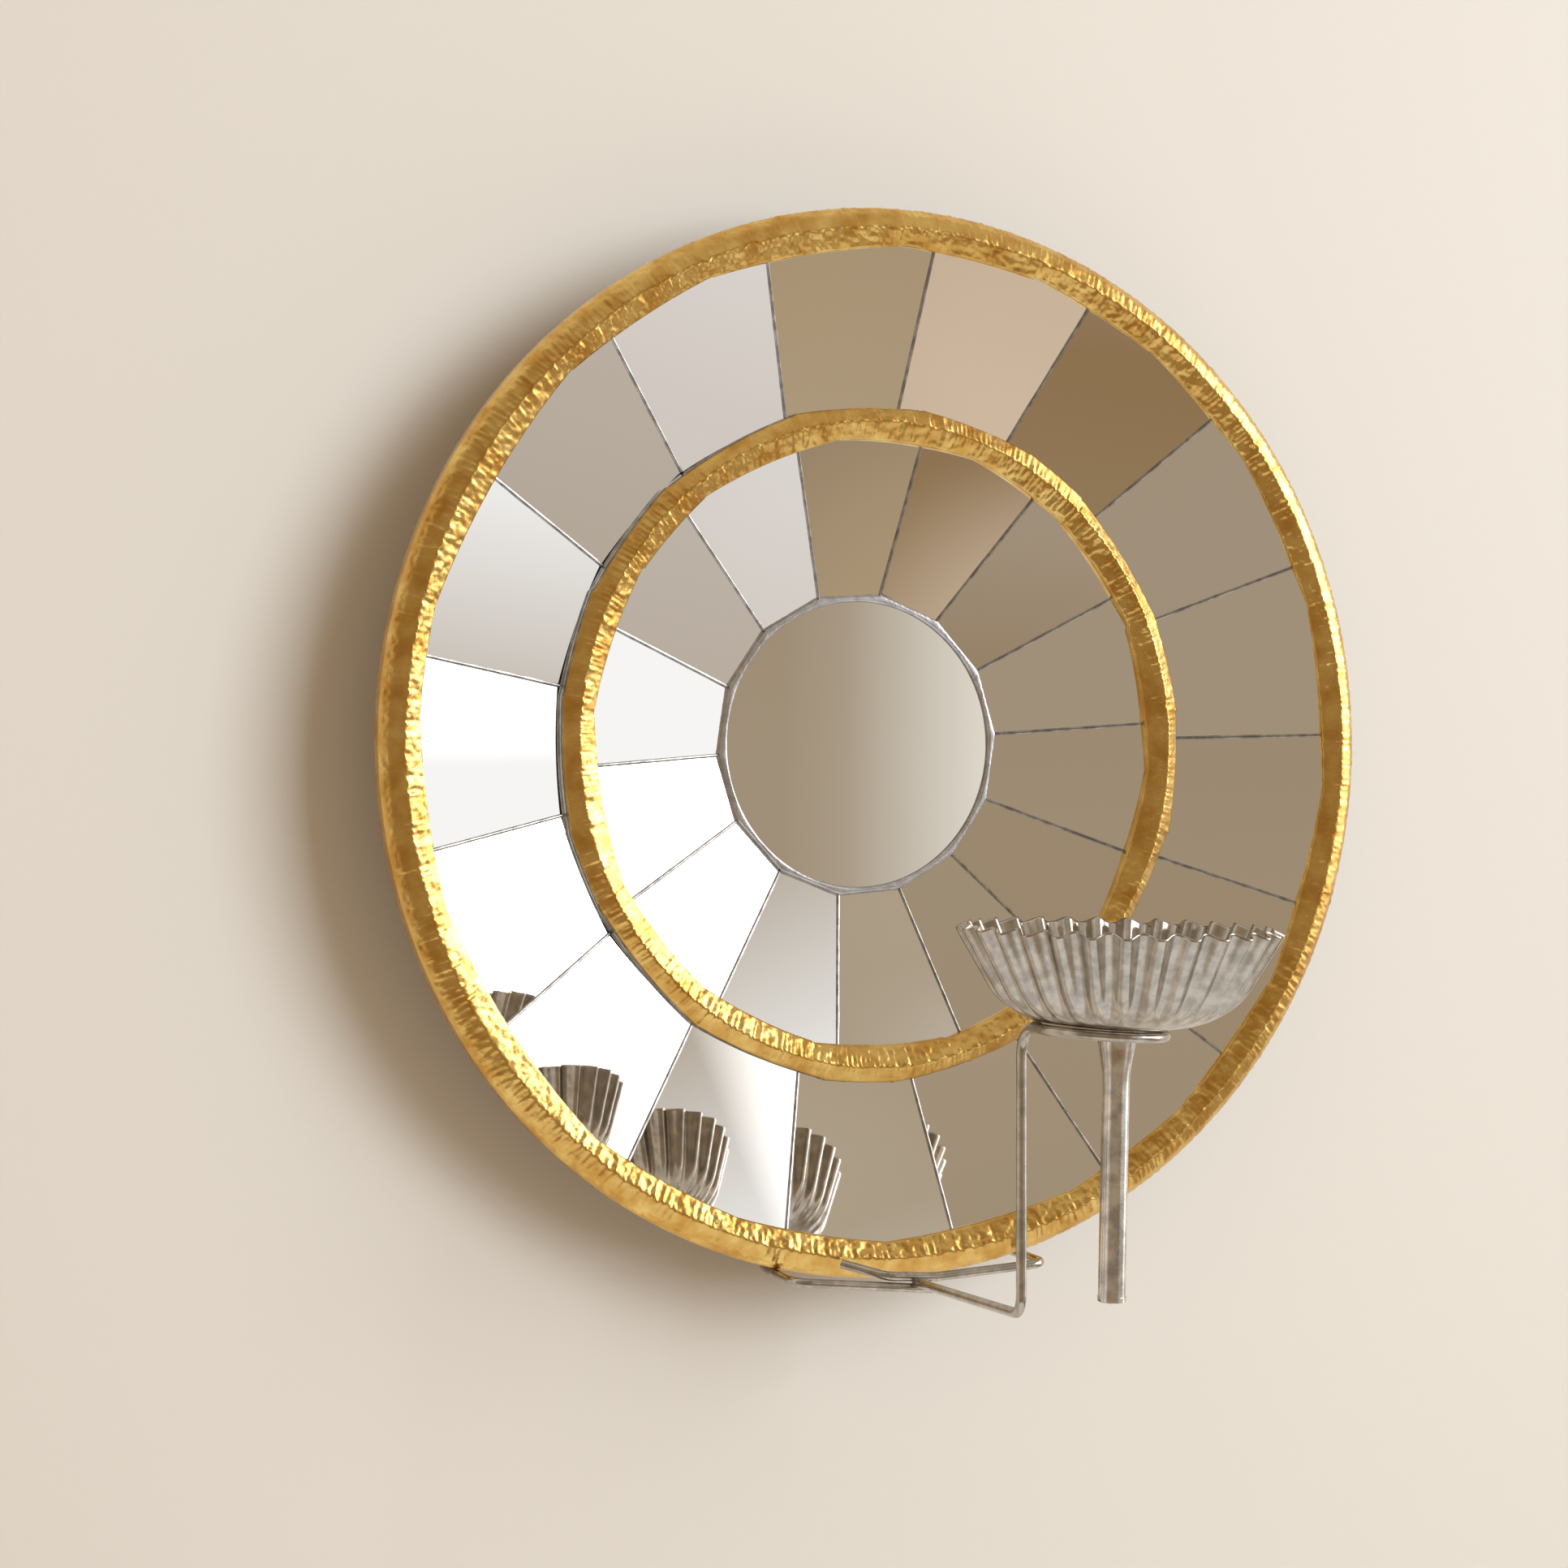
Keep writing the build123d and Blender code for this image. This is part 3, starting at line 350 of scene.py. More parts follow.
def stained_beech():
    """Turned beech under a dark stain: fine long grain and a satin surface."""
    wood = tuple(bpy.context.scene.mirror_colours.wood)
    material, tree, shader, place = new_material("stained_beech")
    stretch = node(tree, "ShaderNodeMapping", [("Vector", place)])
    stretch.inputs["Scale"].default_value = (1 / (2.5 * MM), 1 / (2.5 * MM), 1 / (60 * MM))
    grain = node(tree, "ShaderNodeTexNoise", [("Vector", stretch.outputs["Vector"])], Scale=1.0, Detail=5.0)
    tree.links.new(
        shade(tree, grain.outputs["Fac"], darker(wood, 0.55), wood, 0.3, 0.7), shader.inputs["Base Color"]
    )
    shader.inputs["Roughness"].default_value = 0.5
    bump = node(tree, "ShaderNodeBump", [("Height", grain.outputs["Fac"])], Strength=0.2, Distance=0.2 * MM)
    tree.links.new(bump.outputs["Normal"], shader.inputs["Normal"])
    return material


def wool_felt():
    """Pressed wool felt: matte, with short loose fibres."""
    felt = tuple(bpy.context.scene.mirror_colours.felt)
    material, tree, shader, place = new_material("wool_felt")
    fibres = node(tree, "ShaderNodeTexNoise", [("Vector", place)], Scale=1 / (1.0 * MM), Detail=6.0)
    tree.links.new(
        shade(tree, fibres.outputs["Fac"], darker(felt, 0.4), felt, 0.3, 0.7), shader.inputs["Base Color"]
    )
    shader.inputs["Roughness"].default_value = 0.95
    bump = node(tree, "ShaderNodeBump", [("Height", fibres.outputs["Fac"])], Strength=0.6, Distance=0.4 * MM)
    tree.links.new(bump.outputs["Normal"], shader.inputs["Normal"])
    return material


def build(name, points, faces, material, body, slot, *nodes):
    """Makes a smooth mesh piece that rides on a body and stands for CAD nodes."""
    mesh = bpy.data.meshes.new(name)
    mesh.from_pydata([tuple(p) for p in points], [], faces)
    mesh.polygons.foreach_set("use_smooth", [True] * len(mesh.polygons))
    mesh.materials.append(material)
    piece = bpy.data.objects.new(name, mesh)
    bpy.context.scene.collection.objects.link(piece)
    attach(piece, body)
    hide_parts(*nodes)
    return piece


def give_finish(material, *nodes):
    """Gives CAD pieces a finish."""
    for name in nodes:
        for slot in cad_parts[name].material_slots:
            slot.material = material


def grid_faces(rows, columns, wrap_rows, wrap_columns, start=0):
    """Quads of a grid of points, which closes on itself where it wraps."""
    faces = []
    for i in range(rows if wrap_rows else rows - 1):
        for j in range(columns if wrap_columns else columns - 1):
            across = (j + 1) % columns
            down = (i + 1) % rows
            faces.append(
                (
                    start + i * columns + j,
                    start + i * columns + across,
                    start + down * columns + across,
                    start + down * columns + j,
                )
            )
    return faces


def along(corners, steps):
    """Points along a run of straight lines, with a count of steps for each line."""
    points = [corners[0]]
    for a, b, count in zip(corners, corners[1:], steps):
        for i in range(1, count + 1):
            points.append((blend(a[0], b[0], i / count), blend(a[1], b[1], i / count)))
    return points


def eased(line):
    """The same line with its corners rounded a little, its ends kept."""
    middle = [
        tuple(line[j][k] * 0.5 + (line[j - 1][k] + line[j + 1][k]) * 0.25 for k in (0, 1))
        for j in range(1, len(line) - 1)
    ]
    return [line[0], *middle, line[-1]]


def cut_edge(count, first, radius, seed):
    """Cut edge of a ring laid in strips: the angle of each end, with the radius before and after it."""
    shuffle = random.Random(seed)
    wander = bpy.context.scene.mirror_sizes.edge_wander
    ends = []
    for i in range(count):
        angle = first + (i + shuffle.uniform(-0.3, 0.3)) * math.tau / count
        arrives = radius + shuffle.uniform(-wander, wander)
        leaves = radius + shuffle.uniform(-wander, wander)
        ends.append((angle, arrives, leaves))
    return ends


def edge_radius(ends, angle, flatness=0.4):
    """Radius of a cut edge, which runs nearly straight from one end of its strip to the other."""
    for (start, _, leaves), (stop, arrives, _) in zip(ends, ends[1:] + ends[:1]):
        span = (stop - start) % math.tau
        turn = (angle - start) % math.tau
        if turn <= span:
            chord = leaves * arrives * math.sin(span)
            chord /= leaves * math.sin(turn) + arrives * math.sin(span - turn)
            arc = blend(leaves, arrives, turn / span)
            return blend(arc, chord, flatness)
    return ends[0][1]


def hammer_marks(place, cell, depth):
    """Height of beaten metal: shallow bowls on a ground that is uneven at several sizes."""
    reach = noise.voronoi(place / cell)[0][0]
    ground = noise.fractal(place / (cell * 0.6), 0.8, 2.0, 3)
    return depth * (0.6 * min(reach, 1.0) ** 2 - 0.2 + 0.75 * ground)


def hammered_ring(profile, steps, marks, turns):
    """Grid of a ring whose profile changes with the angle, with marks (cell, depth) on each of its lines."""
    per_point = [marks[0]] + [mark for mark, count in zip(marks, steps) for _ in range(count)]
    points = []
    for i in range(turns):
        angle = math.tau * i / turns
        line = eased(along(profile(angle), steps))
        for j, (radius, depth) in enumerate(line):
            before, after = line[max(j - 1, 0)], line[min(j + 1, len(line) - 1)]
            run, rise = after[0] - before[0], after[1] - before[1]
            size = math.hypot(run, rise) or 1.0
            cell, height = per_point[j]
            lift = hammer_marks(at(radius, angle, depth), cell, height) if height else 0.0
            points.append(at(radius + rise / size * lift, angle, depth - run / size * lift))
    return points, grid_faces(turns, sum(steps) + 1, True, False)


class MIRROR_OT_outer_rim(bpy.types.Operator):
    """Hammered gilt rim with a hand-cut inner edge and a smooth side wall"""

    bl_idname = "mirror.outer_rim"
    bl_label = "Outer Rim"

    def execute(self, context):
        sizes = context.scene.mirror_sizes
        pitch = math.tau / OUTER_FACETS
        lip = cut_edge(OUTER_FACETS, OUTER_FIRST_SEAM + 0.5 * pitch, LIP_RADIUS + 0.3 * MM, 4)

        def profile(angle):
            radius = edge_radius(lip, angle)
            ridge = LIP_RADIUS + SEEN_RIDGE_IN + 1.0 * MM * noise.noise(at(100.0, angle, 0.0) * 1.7)
            corner = RIM_RADIUS - 2.8 * MM + 0.7 * MM * noise.noise(at(100.0, angle, 0.3) * 2.3)
            foot = on_facets(radius, angle, OUTER_FACETS, OUTER_FIRST_SEAM, outer_depth) + 0.5 * MM
            return [
                (radius + 0.2 * MM, foot),
                (radius, 0.0),
                (ridge, -SEEN_RIDGE),
                (corner, -1.2 * MM),
                (RIM_RADIUS, 1.4 * MM),
                (RIM_RADIUS, RIM_WALL - 2.4 * MM),
                (RIM_RADIUS - 2.4 * MM, RIM_WALL),
                (RIM_RADIUS - 4.0 * MM, RIM_WALL),
            ]

        steps = (2, 14, 9, 5, 6, 3, 1)
        cell, deep = sizes.dent_size, sizes.dent_depth
        marks = (
            (cell, 0.0),
            (cell, deep),
            (cell, 0.3 * deep),
            (0.5 * cell, 0.7 * deep),
            (2 * cell, 0.12 * deep),
            (cell, 0.0),
            (cell, 0.0),
        )
        points, faces = hammered_ring(profile, steps, marks, RIM_TURNS)
        build("gilt_outer_rim", points, faces, hammered_gilt_brass(), "mirror", "gilt_brass", "outer_rim")
        return {"FINISHED"}


class MIRROR_OT_inner_ring(bpy.types.Operator):
    """Hammered gilt ring over the step, with bare lead lines round its side"""

    bl_idname = "mirror.inner_ring"
    bl_label = "Inner Ring"

    def execute(self, context):
        sizes = context.scene.mirror_sizes
        outer_edge = cut_edge(OUTER_FACETS, OUTER_FIRST_SEAM, RING_RADIUS - 0.1 * MM, 9)
        inner_edge = cut_edge(INNER_FACETS, INNER_FIRST_SEAM + 0.3, RING_INNER_RADIUS + 0.2 * MM, 6)
        outer_lip = outer_depth(RING_RADIUS) - RING_OUTER_WALL
        inner_lip = INNER_EDGE_DEPTH - RING_INNER_WALL

        def profile(angle):
            outside, inside = edge_radius(outer_edge, angle), edge_radius(inner_edge, angle)
            ridge = RING_RADIUS - 6.4 * MM + 1.0 * MM * noise.noise(at(100.0, angle, 0.02) * 1.9)
            foot = on_facets(inside, angle, INNER_FACETS, INNER_FIRST_SEAM, inner_depth) + 0.5 * MM
            return [
                (inside + 0.1 * MM, foot),
                (inside, inner_lip),
                (ridge, RING_RIDGE_DEPTH),
                (outside, outer_lip),
                (outside - 0.1 * MM, outer_lip + 0.8 * MM),
                (outside - 0.8 * MM, outer_lip + 1.0 * MM),
            ]

        cell, deep = sizes.dent_size, sizes.dent_depth
        marks = ((cell, 0.0), (cell, 0.9 * deep), (cell, 0.4 * deep), (cell, 0.0), (cell, 0.0))
        points, faces = hammered_ring(profile, (4, 13, 11, 1, 1), marks, RING_TURNS)
        gilt = hammered_gilt_brass()
        ring = build("gilt_inner_ring", points, faces, gilt, "mirror", "gilt_brass", "inner_ring")

        def side(angle):
            """Two rounded lead lines with a bright groove between them."""
            outside = edge_radius(outer_edge, angle) - 0.3 * MM
            foot = on_facets(outside, angle, OUTER_FACETS, OUTER_FIRST_SEAM, outer_depth) + 0.3 * MM
            top = outer_lip + 0.7 * MM
            heights = [(0.0, -0.8), (0.0, 0.0), (0.12, 0.35), (0.26, 0.35), (0.34, 0.0), (0.66, 0.0)]
            heights += [(0.74, 0.4), (0.92, 0.4), (1.0, 0.1)]
            return [(outside + out * MM, blend(top, foot, share)) for share, out in heights]

        points, faces = hammered_ring(side, (1,) * 8, ((cell, 0.0),) * 8, STRIP_TURNS)
        strip = build("lead_side_strip", points, faces, drawn_lead(), "mirror", "lead", "ring_side_strip")
        # Both are kept out of reflections. The CAD's wall under the ring is probably too high, and its
        # image in the facets would be more than twice as wide as in the photograph.
        ring.visible_glossy = False
        strip.visible_glossy = False
        return {"FINISHED"}


def came(points, low, high, angle, depth_on_seam, seed):
    """One rounded lead strip along a seam. Adds its points and returns its faces."""
    sizes = bpy.context.scene.mirror_sizes
    half, rise = sizes.seam_width / 2, sizes.seam_height
    shape = [(-1.0, -0.7), (-0.95, 0.4), (-0.6, 0.9), (0.0, 1.0), (0.6, 0.9), (0.95, 0.4), (1.0, -0.7)]
    first = len(points)
    tilt = math.atan((depth_on_seam(low) - depth_on_seam(high)) / (high - low))
    across = Vector((-math.sin(angle), 0.0, math.cos(angle)))
    out = Vector((-math.sin(tilt) * math.cos(angle), -math.cos(tilt), -math.sin(tilt) * math.sin(angle)))
    for i in range(SEAM_ROWS):
        radius = blend(low, high, i / (SEAM_ROWS - 1))
        place = at(radius, angle, depth_on_seam(radius))
        wobble = noise.noise(Vector((radius * 160, seed, 0.0)))
        for side, height in shape:
            width = (side * (1 + 0.12 * wobble) + 0.1 * wobble) * half
            points.append(place + across * width + out * (height * (1 + 0.2 * wobble) * rise))
    return grid_faces(SEAM_ROWS, len(shape), False, False, first)


class MIRROR_OT_seams(bpy.types.Operator):
    """Lead strips over the seams between the facets"""

    bl_idname = "mirror.seams"
    bl_label = "Seams"

    def execute(self, context):
        lead = drawn_lead()
        points, faces = [], []
        for i in range(OUTER_FACETS):
            angle = OUTER_FIRST_SEAM - i * math.tau / OUTER_FACETS
            faces += came(points, RING_RADIUS - 0.8 * MM, LIP_RADIUS + 1.0 * MM, angle, outer_depth, i * 3.7)
        build("outer_cames", points, faces, lead, "mirror", "lead", "outer_seams")
        points, faces = [], []
        for i in range(INNER_FACETS):
            angle = INNER_FIRST_SEAM - i * math.tau / INNER_FACETS
            faces += came(points, 55.4 * MM, RING_INNER_RADIUS + 1.0 * MM, angle, inner_depth, i * 5.3)
        build("inner_cames", points, faces, lead, "mirror", "lead", "inner_seams")
        return {"FINISHED"}


class MIRROR_OT_middle(bpy.types.Operator):
    """Lead frame of the middle mirror: fourteen-sided outside, round inside, a little uneven"""

    bl_idname = "mirror.middle"
    bl_label = "Middle Frame"

    def execute(self, context):
        corner = (FRAME_HIGH.x - FRAME_LOW.x) / 2 + 0.15 * MM
        opening = (DISC_HIGH.x - DISC_LOW.x) / 2 + 0.05 * MM
        front = FRAME_LOW.y - LIP_Y
        disc_front = DISC_LOW.y - LIP_Y
        half = math.pi / INNER_FACETS

        def profile(angle):
            turn = (angle - INNER_FIRST_SEAM) % (2 * half) - half
            outside = corner * math.cos(half) / math.cos(turn)
            wave = 0.14 * MM * noise.noise(at(100.0, angle, 0.0) * 2.5)
            return [
                (opening, disc_front + 0.2 * MM),
                (opening + 0.1 * MM, front + 0.3 * MM),
                (opening + 0.5 * MM + wave, front + wave),
                (outside - 0.6 * MM + wave, front + 0.1 * MM - wave),
                (outside + 0.1 * MM, front + 0.8 * MM),
                (outside + 0.1 * MM, front + 2.6 * MM),
            ]

        points, faces = hammered_ring(profile, (2, 1, 4, 2, 1), ((3.0 * MM, 0.0),) * 5, FRAME_TURNS)
        # Cast lead, brighter than the seams, with a cool skin
        lead = grained_metal("cast_lead", from_hex("#DADBE2"), 0.75, 0.36, 0.5 * MM, 0.4)
        build("lead_middle_frame", points, faces, lead, "mirror", "lead", "centre_frame")
        return {"FINISHED"}


class MIRROR_OT_glass(bpy.types.Operator):
    """Silvered finish of every facet and of the middle mirror"""

    bl_idname = "mirror.glass"
    bl_label = "Glass"

    def execute(self, context):
        facets = [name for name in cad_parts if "_facet_" in name]
        give_finish(silvered_glass(), "centre_mirror", *facets)
        return {"FINISHED"}


def pan_wall(share, flute_depth):
    """Radius, height, slope and flute depth at a share of the pan's wall, from its foot to its rim."""
    bend = math.radians(90) - PAN_FLARE
    curve = PAN_BOWL * bend
    straight = (PAN_HEIGHT - PAN_BOWL * (1 - math.cos(bend))) / math.cos(PAN_FLARE)
    run = share * (PAN_FOOT_RADIUS + curve + straight)
    if run < PAN_FOOT_RADIUS:
        return run, 0.0, 0.0, 0.0
    turn = min((run - PAN_FOOT_RADIUS) / PAN_BOWL, bend)
    up = max(run - PAN_FOOT_RADIUS - curve, 0.0)
    fade = max(0.0, (turn - PAN_FLUTE_START) / (bend - PAN_FLUTE_START))
    depth = flute_depth * (0.62 * fade * fade * (3 - 2 * fade) + 0.38 * up / straight)
    radius = PAN_FOOT_RADIUS + PAN_BOWL * math.sin(turn) + up * math.sin(PAN_FLARE)
    height = PAN_BOWL * (1 - math.cos(turn)) + up * math.cos(PAN_FLARE)
    return radius, height, turn, depth


class MIRROR_OT_pan(bpy.types.Operator):
    """Fluted tin pan with a thin wavy rim"""

    bl_idname = "mirror.pan"
    bl_label = "Candle Pan"

    def execute(self, context):
        sizes = context.scene.mirror_sizes
        around, up = PAN_FLUTES * 24, 72
        shuffle = random.Random(11)
        uneven = [shuffle.uniform(-0.1, 0.1) for _ in range(PAN_FLUTES)]
        points = []
        for inset in (0.0, sizes.pan_sheet):
            for i in range(up + 1):
                radius, height, turn, depth = pan_wall((i / up) ** 0.85, sizes.flute_depth)
                for j in range(around):
                    angle = math.tau * j / around
                    phase = (PAN_FLUTES * angle) % math.tau
                    number = int(PAN_FLUTES * angle / math.tau) % PAN_FLUTES
                    crest = math.sin(phase) * (1.2 - 0.2 * math.sin(phase) ** 2)
                    push = depth * crest * (1 + uneven[number] * math.sin(phase / 2) ** 2) - inset
                    out = radius + push * math.sin(turn)
                    place = PAN_FOOT + PAN_ACROSS * (out * math.cos(angle))
                    place += Vector((0.0, out * math.sin(angle), 0.0))
                    points.append(place + PAN_AXIS * (height - push * math.cos(turn)))
        count = (up + 1) * around
        rim = up * around
        faces = grid_faces(up + 1, around, False, True)
        faces += [tuple(reversed(face)) for face in grid_faces(up + 1, around, False, True, count)]
        for j in range(around):
            k = (j + 1) % around
            faces.append((rim + j, rim + k, count + rim + k, count + rim + j))
        build("fluted_tin_pan", points, faces, polished_tin(), "candle_holder", "tinned_steel", "drip_pan")
        return {"FINISHED"}


class MIRROR_OT_wires(bpy.types.Operator):
    """Finish of the bracket's wires, the joint and the candle tube"""

    bl_idname = "mirror.wires"
    bl_label = "Wires and Tube"

    def execute(self, context):
        give_finish(polished_tin(), "left_leg_wire", "right_leg_wire", "stop_wire", "candle_ring_wire")
        # The tube's tin is brighter and more pitted than the wire's
        tube = grained_metal("pitted_tin", from_hex("#E6E1DB"), 0.62, 0.12, 0.6 * MM, 0.2)
        give_finish(tube, "candle_tube", "tube_cap")
        # Brazing metal: dull and lumpy
        braze = grained_metal("brazing_metal", from_hex("#A9A29A"), 0.7, 0.4, 0.6 * MM, 0.5)
        give_finish(braze, "braze_joint")
        return {"FINISHED"}


class MIRROR_OT_back(bpy.types.Operator):
    """Finish of the wooden dish, the felt, the clips and the hanger"""

    bl_idname = "mirror.back"
    bl_label = "Back"

    def execute(self, context):
        give_finish(stained_beech(), "outer_dish", "inner_dish")
        give_finish(wool_felt(), "felt_disc")
        # Brass-plated steel: smooth and bright, a little rubbed
        plated = grained_metal("brass_plated_steel", from_hex("#DCC48C"), 0.8, 0.28, 0.5 * MM, 0.12)
        give_finish(plated, "hanger_strap", "hanging_ring", "hanger_screws", "wire_clips", "clip_screws")
        return {"FINISHED"}


def room_light():
    """A plain room for metal and glass to show, and a soft warm light for everything else."""
    world = bpy.data.worlds.new("soft_room")
    bpy.context.scene.world = world
    world.use_nodes = True
    tree = world.node_tree
    tree.nodes.clear()
    direction = node(tree, "ShaderNodeTexCoord").outputs["Generated"]
    split = node(tree, "ShaderNodeSeparateXYZ", [("Vector", direction)])
    out = node(tree, "ShaderNodeMath", [(0, split.outputs["Y"])], operation="MULTIPLY")
    out.inputs[1].default_value = -1.0
    ends = [(0, split.outputs["X"]), (1, out.outputs[0])]
    azimuth = node(tree, "ShaderNodeMath", ends, operation="ARCTAN2")
    height = node(tree, "ShaderNodeMath", [(0, split.outputs["Z"])], operation="ARCSINE")

    def ramp(source, end, stops):
        """Colours at angles in degrees, from minus the end to the end."""
        share = node(
            tree,
            "ShaderNodeMapRange",
            [("Value", source.outputs[0])],
            From_Min=-math.radians(end),
            From_Max=math.radians(end),
        )
        made = node(tree, "ShaderNodeValToRGB", [("Fac", share.outputs["Result"])])
        elements = made.color_ramp.elements
        elements.remove(elements[1])
        elements[0].position = 0.0
        elements[0].color = from_hex(stops[0][1])
        for angle, colour in stops[1:]:
            elements.new((angle + end) / (2 * end)).color = from_hex(colour)
        return made.outputs["Color"]

    def mixed(factor, a, b, kind="MIX"):
        """Two colours mixed by a factor, or fully where there is none."""
        made = node(tree, "ShaderNodeMix", [(6, a), (7, b)], data_type="RGBA", blend_type=kind)
        if factor is None:
            made.inputs[0].default_value = 1.0
        else:
            tree.links.new(factor, made.inputs[0])
        return made.outputs[2]

    def glow(centre, reach, colour, power=1.0):
        """A soft patch of light, its centre and reach given as azimuth and height in degrees."""
        square = []
        for source, middle, half in zip((azimuth, height), centre, reach):
            offset = node(tree, "ShaderNodeMath", [(0, source.outputs[0])], operation="SUBTRACT")
            offset.inputs[1].default_value = math.radians(middle)
            scaled = node(tree, "ShaderNodeMath", [(0, offset.outputs[0])], operation="DIVIDE")
            scaled.inputs[1].default_value = math.radians(half)
            twice = [(0, scaled.outputs[0]), (1, scaled.outputs[0])]
            square.append(node(tree, "ShaderNodeMath", twice, operation="MULTIPLY").outputs[0])
        total = node(tree, "ShaderNodeMath", list(enumerate(square)), operation="ADD")
        fade = node(
            tree,
            "ShaderNodeMapRange",
            [("Value", total.outputs[0])],
            interpolation_type="SMOOTHSTEP",
            To_Min=power,
            To_Max=0.0,
        )
        made = node(tree, "ShaderNodeBackground", [("Strength", fade.outputs["Result"])])
        made.inputs["Color"].default_value = from_hex(colour)
        return made.outputs[0]

    # Dim walls of the room, from a bright floor at the bottom to a paler ceiling
    walls = ramp(
        height,
        90,
        (
            (-90, "#FBF8F3"),
            (-39, "#F8F6F2"),
            (-35.5, "#A89272"),
            (-31, "#998160"),
            (-26, "#917653"),
            (-20, "#A69580"),
            (0, "#A7967F"),
            (7, "#A28F78"),
            (18, "#A08D74"),
            (29, "#A4937B"),
            (36, "#AA9980"),
            (52, "#CFC6BA"),
            (90, "#DAD2C6"),
        ),
    )
    # The brighter wall to the right, which the middle band of heights shows
    right = ramp(azimuth, 180, ((-180, "#000000"), (23.5, "#000000"), (27, "#FFFFFF"), (120, "#FFFFFF")))
    band = ramp(
        height,
        90,
        (
            (-90, "#000000"),
            (-24, "#5A5A5A"),
            (-11, "#909090"),
            (-5, "#FFFFFF"),
            (22.5, "#FFFFFF"),
            (30, "#000000"),
        ),
    )
    bright = ramp(azimuth, 180, ((-180, "#E6E1D6"), (27, "#E8E3D8"), (43, "#FFFFFF")))
    room = mixed(mixed(None, right, band, "MULTIPLY"), walls, bright)
    # The bright wall to the left, beside the mirror
    left = ramp(azimuth, 180, ((-180, "#FFFFFF"), (-84, "#FFFFFF"), (-62, "#000000")))
    room = mixed(left, room, ramp(height, 90, ((-90, "#D8CDBE"), (0, "#EFE8DE"), (90, "#F2EDE6"))))
    # The window, far to the right
    across = ((-180, "#000000"), (45, "#000000"), (53, "#FFFFFF"), (110, "#FFFFFF"), (125, "#000000"))
    upright = ((-90, "#000000"), (1, "#000000"), (8, "#FFFFFF"), (26, "#FFFFFF"), (38, "#000000"))
    window = mixed(None, ramp(azimuth, 180, across), ramp(height, 90, upright), "MULTIPLY")
    layers = [
        node(tree, "ShaderNodeBackground", [("Color", room)], Strength=1.0).outputs[0],
        node(tree, "ShaderNodeBackground", [("Color", window)], Strength=5.0).outputs[0],
        glow((20, -31), (9, 6), "#9A918A"),
        glow((45.5, -24.5), (9, 8), "#9CA3AC"),
        glow((34, -30), (6, 5), "#4A4230"),
        glow((29, 30), (9, 6), "#4A4A48"),
        glow((86, -3), (24, 16), "#FFFAF0", 1.6),
    ]
    total = layers[0]
    for layer in layers[1:]:
        total = node(tree, "ShaderNodeAddShader", [(0, total), (1, layer)]).outputs[0]
    soft = node(tree, "ShaderNodeBackground", Strength=1.0)
    soft.inputs["Color"].default_value = (0.50, 0.37, 0.235, 1.0)
    seen = node(tree, "ShaderNodeLightPath")
    chosen = node(
        tree, "ShaderNodeMixShader", [(0, seen.outputs["Is Glossy Ray"]), (1, soft.outputs[0]), (2, total)]
    )
    node(tree, "ShaderNodeOutputWorld", [("Surface", chosen.outputs[0])])


def plane(name, corners, material):
    """A flat part of the stage."""
    mesh = bpy.data.meshes.new(name)
    mesh.from_pydata(corners, [], [(0, 1, 2, 3)])
    mesh.materials.append(material)
    made = bpy.data.objects.new(name, mesh)
    bpy.context.scene.collection.objects.link(made)
    made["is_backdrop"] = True
    return made


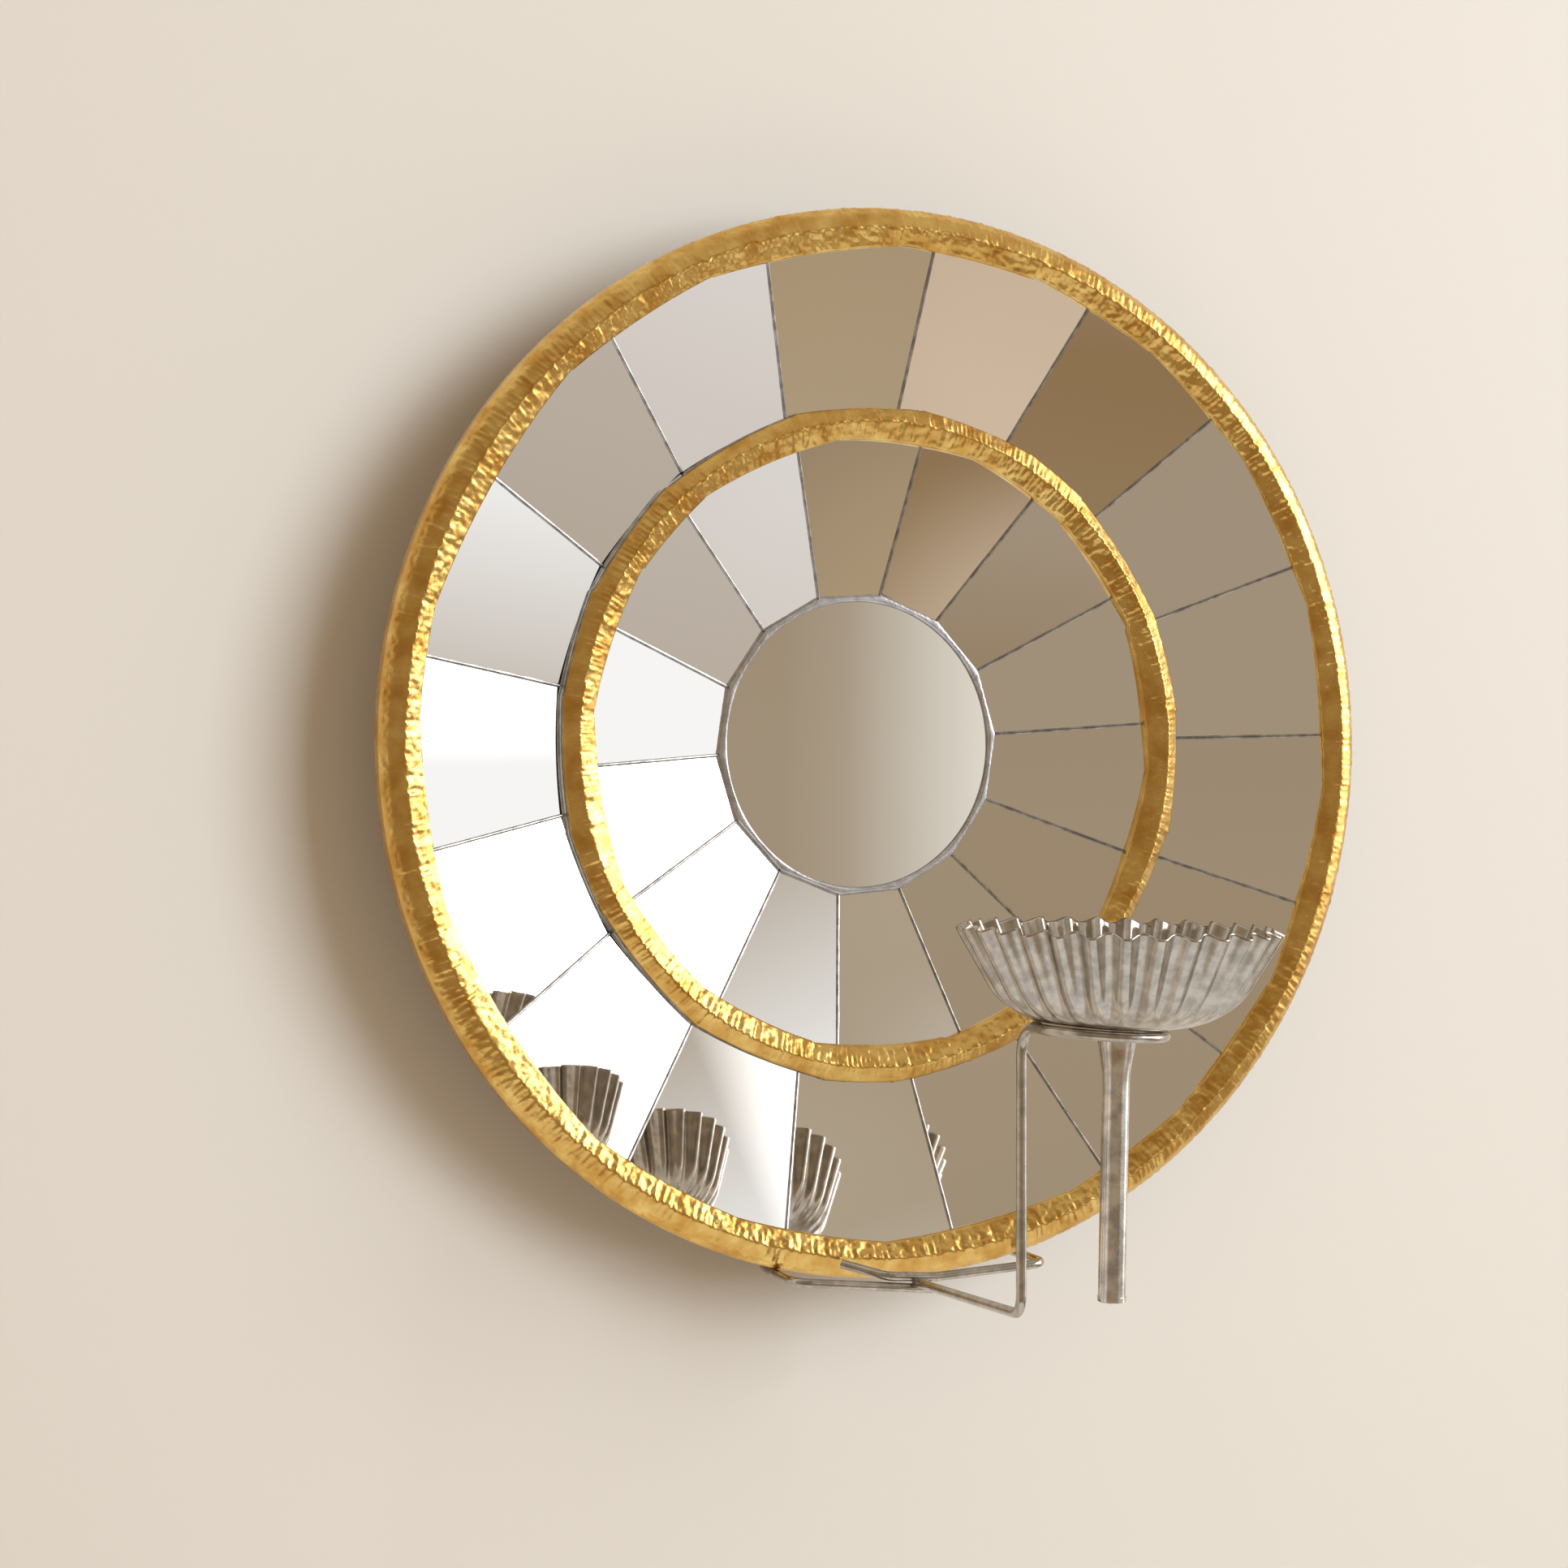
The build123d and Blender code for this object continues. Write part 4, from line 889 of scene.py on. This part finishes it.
class MIRROR_OT_stage(bpy.types.Operator):
    """Plain wall and floor, soft light and the camera"""

    bl_idname = "mirror.stage"
    bl_label = "Stage"

    def execute(self, context):
        sizes = context.scene.mirror_sizes
        # Matt paint on the wall, which is clear from behind so that the mirror's back can be seen
        paint, tree, shader, _ = new_material("matt_wall_paint")
        shader.inputs["Base Color"].default_value = tuple(context.scene.mirror_colours.wall)
        shader.inputs["Roughness"].default_value = 0.9
        shader.inputs["Specular IOR Level"].default_value = 0.2
        behind = node(tree, "ShaderNodeNewGeometry").outputs["Backfacing"]
        clear = node(tree, "ShaderNodeBsdfTransparent")
        sides = [(0, behind), (1, shader.outputs[0]), (2, clear.outputs[0])]
        sided = node(tree, "ShaderNodeMixShader", sides)
        tree.links.new(sided.outputs[0], tree.nodes["Material Output"].inputs["Surface"])
        wall_y = CAD_HIGH.y + 0.3 * MM
        plane("wall", [(-4, wall_y, -1.4), (4, wall_y, -1.4), (4, wall_y, 3), (-4, wall_y, 3)], paint)
        boards, _, board_shader, _ = new_material("pale_floor_paint")
        board_shader.inputs["Base Color"].default_value = from_hex("#DDD6CC")
        board_shader.inputs["Roughness"].default_value = 0.85
        floor = plane("floor", [(-4, -4, -1.4), (4, -4, -1.4), (4, 4, -1.4), (-4, 4, -1.4)], boards)
        floor.visible_glossy = False
        room_light()
        data = bpy.data.lights.new("soft_lamp", "AREA")
        data.shape = "SQUARE"
        data.size = sizes.lamp_size
        data.energy = sizes.lamp_power
        data.color = (0.80, 0.91, 1.0)
        lamp = bpy.data.objects.new("soft_lamp", data)
        lamp.location = (0.98, -2.1, 0.52)
        lamp.rotation_mode = "QUATERNION"
        lamp.rotation_quaternion = (-lamp.location).to_track_quat("-Z", "Y")
        lamp.visible_glossy = False
        context.scene.collection.objects.link(lamp)
        lens = bpy.data.cameras.new("camera")
        lens.lens = 61.68
        lens.sensor_width = 36.0
        camera = bpy.data.objects.new("camera", lens)
        camera.location = (-0.4055, -0.91595, -0.00715)
        camera.rotation_euler = (math.radians(89.57), 0.0, -math.radians(22.54))
        context.scene.collection.objects.link(camera)
        context.scene.camera = camera
        context.scene.view_settings.view_transform = "Standard"
        return {"FINISHED"}


PIECES = (
    MIRROR_OT_outer_rim,
    MIRROR_OT_inner_ring,
    MIRROR_OT_seams,
    MIRROR_OT_middle,
    MIRROR_OT_glass,
    MIRROR_OT_pan,
    MIRROR_OT_wires,
    MIRROR_OT_back,
    MIRROR_OT_stage,
)


class MIRROR_PT_panel(bpy.types.Panel):
    """Sizes, colours and a button for each piece"""

    bl_idname = "MIRROR_PT_panel"
    bl_label = "Faceted Wall Mirror"
    bl_space_type = "VIEW_3D"
    bl_region_type = "UI"
    bl_category = "Mirror"

    def draw(self, context):
        for group in (context.scene.mirror_sizes, context.scene.mirror_colours):
            for name in group.__annotations__:
                self.layout.prop(group, name)
        for piece in PIECES:
            self.layout.operator(piece.bl_idname)


CLASSES = (MirrorSizes, MirrorColours, *PIECES, MIRROR_PT_panel)


def register():
    for cls in CLASSES:
        bpy.utils.register_class(cls)
    bpy.types.Scene.mirror_sizes = PointerProperty(type=MirrorSizes)
    bpy.types.Scene.mirror_colours = PointerProperty(type=MirrorColours)


def unregister():
    del bpy.types.Scene.mirror_colours
    del bpy.types.Scene.mirror_sizes
    for cls in reversed(CLASSES):
        bpy.utils.unregister_class(cls)


def main():
    register()
    bpy.ops.mirror.outer_rim()
    bpy.ops.mirror.inner_ring()
    bpy.ops.mirror.seams()
    bpy.ops.mirror.middle()
    bpy.ops.mirror.glass()
    bpy.ops.mirror.pan()
    bpy.ops.mirror.wires()
    bpy.ops.mirror.back()
    bpy.ops.mirror.stage()


if __name__ == "__main__":
    main()
